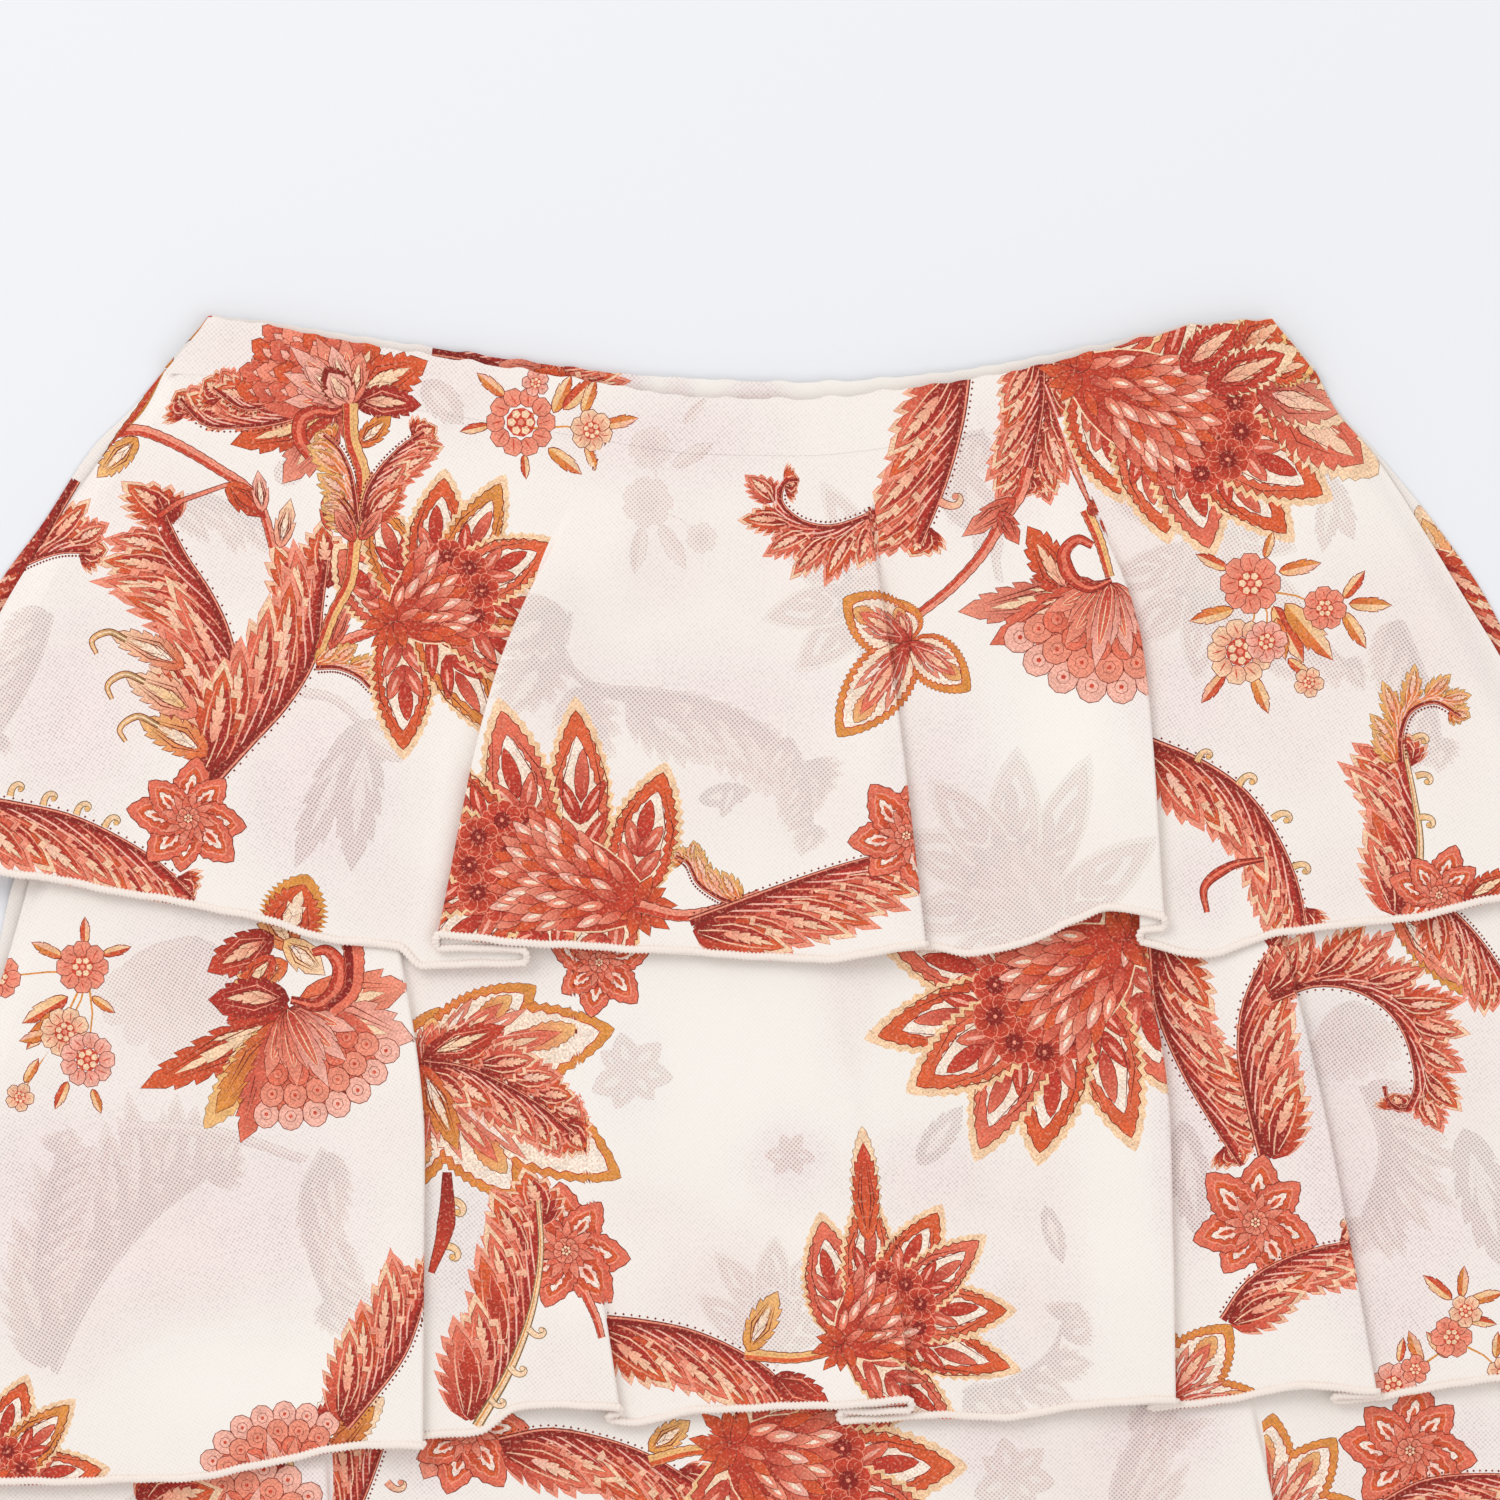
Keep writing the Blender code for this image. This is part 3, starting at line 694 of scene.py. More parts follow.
@dataclass(frozen=True)
class Feather(Motif):
    """A long scrolling leaf: toothed lobes, each swept to a point, off one side of a spine."""

    spine: Table
    width: float
    lobes: int = 6
    side: int = 1               # 1 for lobes to the right of the way the spine runs
    hooks: int = 0              # how many lobes, from the foot up, end in a curl
    pale: bool = False          # a pale spine with veins, not a dark one with pale leaves
    tip: float = 0.8            # length of the end lobe, as a share of the width
    back: float = 0.0           # width of a second row of lobes on the other side
    fringe: Ink = Ink.SALMON
    flare: float = 0.42         # how far the lobes bend away from the spine
    gold: bool = False          # honey and ochre, not red

    def draw(self, cloth: Print) -> None:
        """Lays the hooks, the lobes from the tip down, the shade along the spine, and the spine."""
        count = 30
        line = path(self.spine, count)
        t = np.linspace(0, 1, count)
        along, heading = headed(line)
        inner = np.stack([-along[:, 1], along[:, 0]], 1) * self.side
        gap = np.linalg.norm(np.diff(line, axis=0), axis=1).sum() / self.lobes
        lobes = self._lobes(line, heading, gap, self.side, self.width)
        for base, angle, length, _ in lobes[:self.hooks]:
            end = set_at(np.array(((0.8, 0.64 * self.flare * self.side),)) * length, *base, angle)[0]
            hook(cloth, *end, self.width * 0.52, angle + 60 * self.flare * self.side, self.side,
                 Ink.HONEY)
        if self.back:
            for rank, lobe in enumerate(reversed(self._lobes(line, heading, gap, -self.side, self.back))):
                self._lobe(cloth, lobe, rank, -self.side)
        self._lobe(cloth, (line[-4], float(heading[-1]), self.width * self.tip + 2, gap * 1.3), 1,
                   self.side)
        for rank, lobe in enumerate(reversed(lobes)):
            self._lobe(cloth, lobe, rank, self.side)
        shade = self.width * 0.2 * np.sin(math.pi * (0.1 + 0.8 * t))
        bumps = shade * (1 + 0.35 * np.sin(np.arange(count) * 2.4))
        cloth.lay(np.concatenate([line, (line + inner * bumps[:, None])[::-1]]),
                  *((Ink.ORANGE, Ink.OCHRE) if self.gold else (Ink.MAROON, Ink.CRIMSON)))
        for start in range(1, count - 9, 3):
            run = line[start:start + 9] + inner[start:start + 9] * (
                shade[start:start + 9] * np.linspace(0.1, 1.7, 9))[:, None]
            cloth.stroke(run[::2], 0.6, Ink.SALMON if start % 4 == 1 else Ink.PINK)
        thick = self.width * (0.07 - 0.05 * t) + 0.5
        rows = (((0.0, 1.7, Ink.OLIVE), (0.0, 1.1, Ink.PEACH), (0.2, 0.3, Ink.OCHRE)) if self.pale else
                ((0.0, 1.6, Ink.LINE), (0.2, 0.8, Ink.MAROON), (-0.4, 0.3, Ink.SALMON)))
        for off, wide, ink in rows:
            cloth.lay(ribbon(line + inner * (thick * off)[:, None], thick * wide), ink)
        for k in range(1, count - 2) if cloth.fine and not self.pale else ():
            seed = line[k] - inner[k] * (thick[k] * 0.8 + 0.7)
            cloth.lay(set_at(disc(0.46, 4), *seed), Ink.LINE)

    def _lobes(self, line: Array, heading: Array, gap: float, side: int,
               width: float) -> list[tuple[Array, float, float, float]]:
        """Base, angle, length and width of each lobe, from the foot of the spine up."""
        rows = []
        for k in range(self.lobes):
            share = 0.82 * k / max(1, self.lobes - 1)
            at = int(share * (len(line) - 1))
            swell = 0.5 + 0.62 * math.sin(math.pi * (0.24 + 0.7 * share))
            swell *= (1 - 0.45 * share ** 3) * (1.05, 0.95, 1.08)[k % 3]
            wide = gap * 1.1 + width * 0.14
            out = aimed(float(heading[at]) + side * 90, wide * 0.26)
            rows.append((line[at] + out, float(heading[at]) + side * (23 - 6 * share),
                         width * swell * (1.6 - self.flare * 0.85), wide * (1 - 0.25 * share)))
        return rows

    def _lobe(self, cloth: Print, lobe: tuple[Array, float, float, float], rank: int,
              side: int) -> None:
        """Lays one lobe: fringe, body, a dark patch, a pale barbed leaf and veins."""
        base, angle, length, wide = lobe
        bend = self.flare * (1.1, 0.9)[rank % 2] * side

        def lay(long: float, broad: float, points: int, depth: float, inks: tuple[Ink, Ink],
                start: float = 0.0, aside: float = 0.0, rim: float = 0.24,
                line: Ink = Ink.LINE) -> None:
            """Lays one of the lobe's outlines, bent as the lobe is."""
            outline = frond(length * long, wide * broad, points, depth, blunt=1.1) + (
                length * start, wide * aside * side)
            outline[:, 1] += bend * length * (outline[:, 0] / length) ** 2
            cloth.edged(set_at(outline, *base, angle), *inks, rim, line)

        body = ((Ink.CRIMSON, Ink.CORAL), (Ink.CRIMSON, Ink.ORANGE), (Ink.BRICK, Ink.CORAL))[rank % 3]
        dark = (Ink.MAROON, Ink.CRIMSON if rank % 2 else Ink.BRICK)
        if self.gold:
            body, dark = (Ink.OCHRE, Ink.HONEY), (Ink.ORANGE, Ink.OCHRE)
            lay(1.0, 1.0, 4, 0.28, body, line=Ink.OLIVE)
        else:
            lay(1.08, 1.2, 5, 0.3, (self.fringe, Ink.PEACH if rank % 2 else Ink.SALMON), line=Ink.CORAL)
            lay(0.98, 1.0, 5, 0.28, body)
        lay(0.84, 0.6, 4, 0.36, dark, 0.0, -0.1, 0.2, Ink.PINK if self.pale else Ink.LINE)
        if not self.pale or rank % 2:
            lay(0.56, 0.24, 4, 0.5, (Ink.SALMON if rank % 2 else Ink.PINK, Ink.PEACH), 0.32, 0.0, 0.22)
        for aside, start, reach in ((0.24, 0.1, 0.86), (-0.3, 0.2, 0.84), (-0.1, 0.05, 0.5)):
            t = np.linspace(start, reach, 4)
            run = np.stack([t * length, side * wide * aside * np.sin(math.pi * t)], 1)
            run[:, 1] += bend * length * t ** 2
            cloth.stroke(set_at(run, *base, angle), 0.6, Ink.PEACH, Ink.SALMON)


@dataclass(frozen=True)
class Carnation(Motif):
    """A fan of scallops hung from a pointed calyx."""

    x: float
    drop: float
    radius: float
    angle: float
    spread: float = 75.0
    rows: int = 4
    ruffled: bool = False       # jagged orange petals, not pink scallops

    def draw(self, cloth: Print) -> None:
        """Lays the scallops from the rim inwards, and the calyx."""
        top = np.array((self.x, self.drop))
        ground = petal(self.radius * 0.9, self.radius * 1.1, blunt=0.4, steps=8)
        cloth.lay(set_at(ground, *top, self.angle), Ink.CRIMSON, Ink.CORAL)
        for row in range(self.rows):
            share = row / self.rows
            reach = self.radius * (0.9 - 0.7 * share)
            count = 7 - row
            size = reach * math.radians(self.spread) / count * 1.04
            inks = ((Ink.SALMON, Ink.PINK), (Ink.CORAL, Ink.SALMON), (Ink.BRICK, Ink.CORAL),
                    (Ink.CORAL, Ink.SALMON), (Ink.CRIMSON, Ink.BRICK))[row % 5]
            for k in range(count):
                angle = self.angle + ((k + 0.5) / count * 2 - 1) * self.spread * 0.92
                place = top + aimed(angle, reach)
                if self.ruffled:
                    tone = ((Ink.BRICK, Ink.ORANGE), (Ink.CRIMSON, Ink.CORAL), (Ink.BRICK, Ink.CORAL),
                            (Ink.CORAL, Ink.SALMON))[(row + 2 * k) % 4]
                    for long, wide, pair in ((2.3, 1.9, tone), (1.2, 0.6, (Ink.SALMON, Ink.PINK))):
                        jagged = frond(size * long, size * wide, 3, 0.22, 0.12 * (-1) ** k) - (size, 0)
                        cloth.edged(set_at(jagged, *place, angle), *pair, 0.28)
                    continue
                cloth.edged(set_at(disc(size, 10, 0.9), *place, angle), *inks, 0.28, seat=top)
                cloth.edged(set_at(disc(size * 0.4, 7), *place, angle),
                            Ink.PINK if row == 0 else Ink.SALMON, inks[1], 0.2)
                cloth.lay(set_at(disc(size * 0.16, 5), *place), Ink.BRICK)
        for k, (off, long) in enumerate(((-0.9, 0.6), (0.9, 0.6), (-0.6, 0.5), (0.6, 0.5), (-0.42, 0.66),
                                         (0.42, 0.66), (-0.18, 0.54), (0.18, 0.54), (0.0, 0.74))):
            angle = self.angle + off * self.spread
            cloth.edged(set_at(frond(self.radius * long, self.radius * 0.17, 3, 0.14), *top, angle),
                        Ink.BRICK, Ink.SALMON if k % 2 else Ink.PINK, 0.3)
            cloth.edged(set_at(petal(self.radius * long * 0.74, self.radius * 0.09), *top, angle),
                        Ink.CRIMSON, Ink.CORAL, 0.22, Ink.PEACH)
            cloth.stroke(np.array([top + aimed(angle, self.radius * long * at) for at in (0.2, 0.45, 0.7)]),
                         0.5, Ink.PEACH)


@dataclass(frozen=True)
class Posy(Motif):
    """A spray of small round flowers with a bud and two-tone leaves."""

    x: float
    drop: float
    size: float                 # radius of its first flower
    turn: float = 0.0
    warm: Ink = Ink.CORAL
    #   along, across and radius in first flowers, petals
    flowers: Table = ((0.0, 0.0, 1.0, 8), (-0.35, 2.35, 1.08, 9), (0.55, 2.0, 0.7, 7),
                      (2.55, 0.85, 0.72, 7), (2.0, 3.4, 0.5, 5))
    #   along, across, angle, length in first flowers
    leaves: Table = ((-0.8, -0.5, 205, 1.3), (1.0, -0.4, -12, 1.6), (-0.6, 0.9, 165, 1.7),
                     (0.8, 0.8, 62, 2.4), (1.2, 0.7, 50, 2.8), (0.9, 1.2, 78, 1.6),
                     (3.2, 0.5, -52, 1.3), (3.4, 0.7, 2, 1.6), (3.2, 1.0, 58, 1.6),
                     (-0.9, 3.1, 128, 1.4), (0.1, 3.2, 68, 1.5), (0.5, -0.9, -72, 1.0),
                     (1.3, 2.6, 40, 1.2))

    def draw(self, cloth: Print) -> None:
        """Lays the stems, the leaves and then the flowers."""
        def at(along: float, across: float) -> Array:
            """A place in the spray, from first flowers along and across."""
            return set_at(np.array(((along, across),)) * self.size, self.x, self.drop, self.turn)[0]

        for along, across, _, _ in self.flowers[1:]:
            line = np.array([at(0.2, 0.2), at(along * 0.5 + 0.3, across * 0.5), at(along, across)])
            cloth.lay(ribbon(line, (0.8, 0.6, 0.5)), Ink.OCHRE)
        for k, (along, across, angle, length) in enumerate(self.leaves):
            two_tone(cloth, *at(along, across), self.size * length, self.turn + angle,
                     Ink.ORANGE if k % 3 else Ink.BRICK, 1 if k % 2 else -1,
                     Ink.PINK if k % 4 == 1 else Ink.PEACH)
        for k, (along, across, radius, lobes) in enumerate(self.flowers):
            rosette(cloth, *at(along, across), self.size * radius * 1.08, int(lobes), self.warm,
                    (Ink.SALMON, Ink.PEACH, Ink.PINK)[k % 3], Ink.LINE, Ink.BRICK, 20 * k)


@dataclass(frozen=True)
class GoldFlower(Motif):
    """A broad flower of a few lobes, ringed in ochre teeth about a cream middle."""

    x: float
    drop: float
    #   angle, length, width of each lobe
    lobes: Table
    border: float = 2.4

    def draw(self, cloth: Print) -> None:
        """Lays the ochre borders, the cream middles, and the leaves within them."""
        def lay(row: tuple[float, ...], outline: Array, near: Ink, far: Ink, rim: float = 0.24,
                line: Ink = Ink.LINE, aside: float = 0.0) -> None:
            """Lays an outline along one of the flower's lobes."""
            cloth.edged(set_at(outline, self.x, self.drop, row[0] + aside), near, far, rim, line)

        for row in self.lobes:
            lay(row, petal(row[1], row[2], 15, 0.05, 0.05, 0.82), Ink.ORANGE, Ink.OCHRE, 0.2)
        for row in self.lobes:
            outline = petal(row[1] - 2.6 * self.border, row[2] - 2.1 * self.border, 10, 0.07, 0.05, 0.8)
            lay(row, outline + (self.border * 0.6, 0), Ink.PEACH, Ink.CREAM, 0.34, Ink.CRIMSON)
        for k, row in enumerate(self.lobes):
            _, long, wide = row
            tip = petal(long * 0.3, wide * 0.3, 5, 0.1) + (long * 0.52, 0)
            lay(row, tip, Ink.ORANGE if k % 2 else Ink.CORAL, Ink.HONEY)
            for side in (-1, 1):
                lay(row, frond(long * 0.62, wide * 0.2, 4, 0.24), Ink.CRIMSON if k % 2 else Ink.BRICK,
                    Ink.SALMON, aside=side * 15)
                lay(row, frond(long * 0.4, wide * 0.09, 2, 0.3) + (long * 0.12, 0), Ink.PINK,
                    Ink.CREAM, aside=side * 15)
            lay(row, frond(long * 0.74, wide * 0.3, 5, 0.22), Ink.CRIMSON, Ink.CORAL)
            lay(row, frond(long * 0.4, wide * 0.12, 3, 0.4) + (long * 0.22, 0), Ink.SALMON, Ink.PEACH)
            for off in (-0.08, 0.08):
                vein = np.array(((0.1, 0.0), (0.36, off), (0.62, off * 0.6))) * (long, wide * 1.6)
                cloth.stroke(set_at(vein, self.x, self.drop, row[0]), 0.55, Ink.PINK)


@dataclass(frozen=True)
class Leaf(Motif):
    """One toothed leaf: a pale fringe, a body in two inks and a small leaf within it."""

    x: float
    drop: float
    tip_x: float
    tip_drop: float
    width: float
    near: Ink = Ink.CRIMSON
    far: Ink = Ink.ORANGE
    fringe: Ink | None = None
    inner: Ink | None = Ink.PEACH
    teeth: int = 5
    bend: float = 0.0

    def draw(self, cloth: Print) -> None:
        """Lays the fringe, the body and what is within it."""
        out = np.array((self.tip_x - self.x, self.tip_drop - self.drop))
        length = float(np.hypot(*out))
        angle = math.degrees(math.atan2(out[1], out[0])) - math.degrees(math.atan(self.bend))
        base = (self.x, self.drop)
        if self.fringe:
            wide = petal(length, self.width, self.teeth + 4, 0.12, self.bend)
            cloth.edged(set_at(wide, *base, angle), self.fringe, self.fringe, 0.2, Ink.OLIVE)
        share = 0.86 if self.fringe else 1.0
        body = frond(length * share, self.width * share, max(2, self.teeth), 0.2, self.bend)
        cloth.edged(set_at(body, *base, angle), self.near, self.far, 0.3)
        if self.inner:
            for off, long, start in ((0, 0.62, 0.16), (-17, 0.3, 0.2), (17, 0.3, 0.2)):
                inside = frond(length * long, self.width * (0.27 if off == 0 else 0.14), 3, 0.4)
                inside = set_at(inside, length * start, 0.0, off)
                inside[:, 1] += self.bend * length * (inside[:, 0] / length) ** 2
                cloth.edged(set_at(inside, *base, angle), self.inner, Ink.PEACH, 0.2)
        for side in (-1, 1):
            for out in (0.34, 0.2):
                line = np.array(((0.1, 0.04 * side), (0.42, out * side), (0.82, 0.4 * out * side)))
                line = line * (length * share, self.width * share)
                line[:, 1] += self.bend * length * (line[:, 0] / length) ** 2
                cloth.stroke(set_at(line, *base, angle), 0.45,
                             Ink.LINE if out < 0.3 or self.near is not Ink.MAROON else Ink.SALMON)


@dataclass(frozen=True)
class Scroll(Motif):
    """A tapering band along a few points, such as a tendril or a horn-shaped sepal."""

    points: Table
    widths: tuple[float, float, float]      # start, middle, end
    near: Ink = Ink.BRICK
    far: Ink = Ink.SALMON
    stripe: Ink | None = None

    def draw(self, cloth: Print) -> None:
        """Lays the band, with a stripe down its middle if it has one."""
        count = 6 + 5 * len(self.points)
        line = path(self.points, count)
        widths = np.interp(np.linspace(0, 1, count), (0, 0.5, 1), self.widths)
        cloth.lay(ribbon(line, widths + 0.6), Ink.LINE)
        cloth.lay(ribbon(line, widths), self.near, self.far)
        if self.stripe:
            cloth.lay(ribbon(line, widths * 0.34), self.stripe)


@dataclass(frozen=True)
class Hooks(Motif):
    """Tendrils that curl at the tip."""

    #   x, drop, size, angle, side it curls to
    rows: Table
    ink: Ink = Ink.HONEY

    def draw(self, cloth: Print) -> None:
        """Lays each tendril."""
        for x, drop, size, angle, side in self.rows:
            hook(cloth, x, drop, size, angle, int(side), self.ink)


# ------------------------------------------------------------------ the cloth's form

@dataclass(frozen=True)
class Crease:
    """A soft ridge, or a trough if its height is below zero, from one place to another."""

    x0: float
    drop0: float
    x1: float
    drop1: float
    width: float
    height: float


class Tone(Enum):
    """How the net looks over what lies beneath: its colour, and how dark its holes are."""

    WHITE = ("#FBF6EF", 0.04)
    IVORY = ("#FAF2EB", 0.16)
    BLUSH = ("#FAEBE6", 0.42)
    MAUVE = ("#FBEAE7", 0.72)
    SMOKE = ("#F4E6E4", 0.90)

    @property
    def rgba(self) -> Array:
        """Linear colour, with the darkness of the holes last."""
        return np.array((*linear(self.value[0]), self.value[1]))


@dataclass(frozen=True)
class Cloud:
    """A soft patch where the net looks thinner or thicker over what lies beneath."""

    x: float
    drop: float
    wide: float
    deep: float
    tone: Tone
    strength: float


def creased(creases: Iterable[Crease], x: Array, drop: Array) -> Array:
    """Height of all the creases together at places on the cloth."""
    height = np.zeros_like(x)
    for crease in creases:
        run = np.array((crease.x1 - crease.x0, crease.drop1 - crease.drop0))
        long = float(np.hypot(*run))
        run = run / long
        share = ((x - crease.x0) * run[0] + (drop - crease.drop0) * run[1]) / long
        off = (x - crease.x0) * run[1] - (drop - crease.drop0) * run[0]
        ends = smooth(share / 0.35) * smooth((1 - share) / 0.2)
        height += crease.height * np.exp(-(off / crease.width) ** 2) * ends
    return height


def clouded(clouds: Iterable[Cloud], x: Array, drop: Array) -> Array:
    """Linear colour and hole darkness of the bare cloth at places on it."""
    tint = np.tile(Tone.IVORY.rgba, (len(x), 1))
    for cloud in clouds:
        away = ((x - cloud.x) / cloud.wide) ** 2 + ((drop - cloud.drop) / cloud.deep) ** 2
        weight = (cloud.strength * np.exp(-away ** 1.4))[:, None]
        tint = tint * (1 - weight) + cloud.tone.rgba * weight
    return tint


class FoldCut:
    """A fold cut across at many shares of the drop: two turns with a flat stretch between."""

    def __init__(self, fold: Fold, share: Array) -> None:
        """Works out where the fold starts, ends and how far it lifts the cloth on top."""
        self.left_over = fold.over is Over.LEFT
        closed = smooth((share - fold.opens) / (fold.closes - fold.opens))
        self.turn = np.maximum(math.pi * closed, NO_TURN)
        self.radius = BEND + SLACK * (1 - closed) / self.turn
        doubled = np.clip((share - fold.closes) / (1 - fold.closes), 0, 1)
        self.flat = STRAIGHT + (fold.lap - 2 * BEND - STRAIGHT) * doubled
        edge = curve(((0, fold.seam_x), (0.5, fold.belly_x), (1, fold.hem_x)), share)
        bulge = self.radius * np.sin(np.minimum(self.turn, math.pi / 2))
        run = 2 * self.radius * np.sin(self.turn) + self.flat * np.cos(self.turn)
        self.start = edge - bulge if self.left_over else edge + bulge - run
        self.end = self.start + run
        self.rise = 2 * self.radius * (1 - np.cos(self.turn)) + self.flat * np.sin(self.turn)

    def points(self) -> tuple[Array, Array, Array, Array]:
        """Points across the fold, a row for each share.

        Returns:
            x, height over the lower strip, share of the way along, and cloth gone by.
        """
        side = -1.0 if self.left_over else 1.0
        along = np.linspace(0, 1, TURN_STEPS + 1)
        first = self.turn[:, None] * along
        second = self.turn[:, None] - first
        radius = self.radius[:, None]
        x = np.concatenate([self.start[:, None] + radius * np.sin(first),
                            self.end[:, None] - radius * np.sin(second)], 1)
        z = np.concatenate([side * radius * (1 - np.cos(first)),
                            side * (self.rise[:, None] - radius * (1 - np.cos(second)))], 1)
        if self.left_over:
            z += self.rise[:, None]
        gone = np.concatenate([radius * first, radius * (self.turn[:, None] + first)
                               + self.flat[:, None]], 1)
        return x, z, np.linspace(0, 1, x.shape[1])[None, :], gone


def back_height(outer_hem: Table, x: Array, drop: Array) -> Array:
    """Height of a back tier: on the surface past outer_hem, over that tier above it."""
    if not outer_hem:
        return np.full_like(x, WALL / 2)
    past = (drop - curve(outer_hem, x) - STEP_START) / STEP_RUN
    return WALL / 2 + PITCH * (1 - smooth(past))


def holds(outline: Array, points: Array) -> Array:
    """Which points lie inside a closed outline."""
    inside = np.zeros(len(points), bool)
    x, y = points.T
    for (x0, y0), (x1, y1) in zip(outline, np.roll(outline, -1, 0)):
        if y0 == y1:
            continue
        inside ^= ((y0 > y) != (y1 > y)) & (x < (x1 - x0) * (y - y0) / (y1 - y0) + x0)
    return inside


def topmost(shapes: list[Shape], points: Array) -> Array:
    """Index of the last shape laid over each point, or -1 on bare cloth."""
    order = np.argsort(points[:, 0])
    ranked = points[order]
    top = np.full(len(points), -1)
    for index, shape in enumerate(shapes):
        low, high = shape.points.min(0), shape.points.max(0)
        first, last = np.searchsorted(ranked[:, 0], (low[0], high[0]))
        if first == last:
            continue
        near = ranked[first:last, 1]
        rows = first + np.flatnonzero((near >= low[1]) & (near <= high[1]))
        if len(rows):
            inside = holds(shape.points, ranked[rows])
            top[order[rows[inside]]] = index
    return top


def inked(shapes: list[Shape], owner: Array, places: Array) -> Array:
    """Colour and cover at places, each in the shape that owns it.

    Args:
        shapes: All the shapes.
        owner: For each place, the index of its shape, or -1.
        places: x and drop of each.

    Returns:
        Linear red, green and blue of each, and how far the ink covers the net.
    """
    colours = np.zeros((len(places), 4))
    if not shapes:
        return colours
    near = np.array([shape.near for shape in shapes])
    far = np.array([shape.far for shape in shapes])
    seat = np.array([shape.seat for shape in shapes])
    reach = np.array([shape.reach for shape in shapes])
    on = owner >= 0
    own = owner[on]
    share = np.clip(np.linalg.norm(places[on] - seat[own], axis=1) / reach[own], 0, 1)[:, None]
    colours[on, :3] = near[own] * (1 - share) + far[own] * share
    colours[on, 3] = np.array([shape.cover for shape in shapes])[own]
    return colours


def showing(shapes: list[Shape]) -> tuple[list[Array], list[Array]]:
    """What can be seen of the shapes' outlines under those laid later.

    Args:
        shapes: All the shapes.

    Returns:
        For each shape its points, and which of its edges are not wholly covered.
    """
    if not shapes:
        return [], []
    loops = [shape.points for shape in shapes]
    middles = [(loop + np.roll(loop, -1, 0)) / 2 for loop in loops]
    rank = np.repeat(np.arange(len(loops)), [len(loop) for loop in loops])
    covered = topmost(shapes, np.concatenate(loops)) > rank
    between = topmost(shapes, np.concatenate(middles)) > rank
    seen, first = [], 0
    for loop in loops:
        ends = covered[first:first + len(loop)]
        seen.append(~(ends & np.roll(ends, -1) & between[first:first + len(loop)]))
        first += len(loop)
    return loops, seen


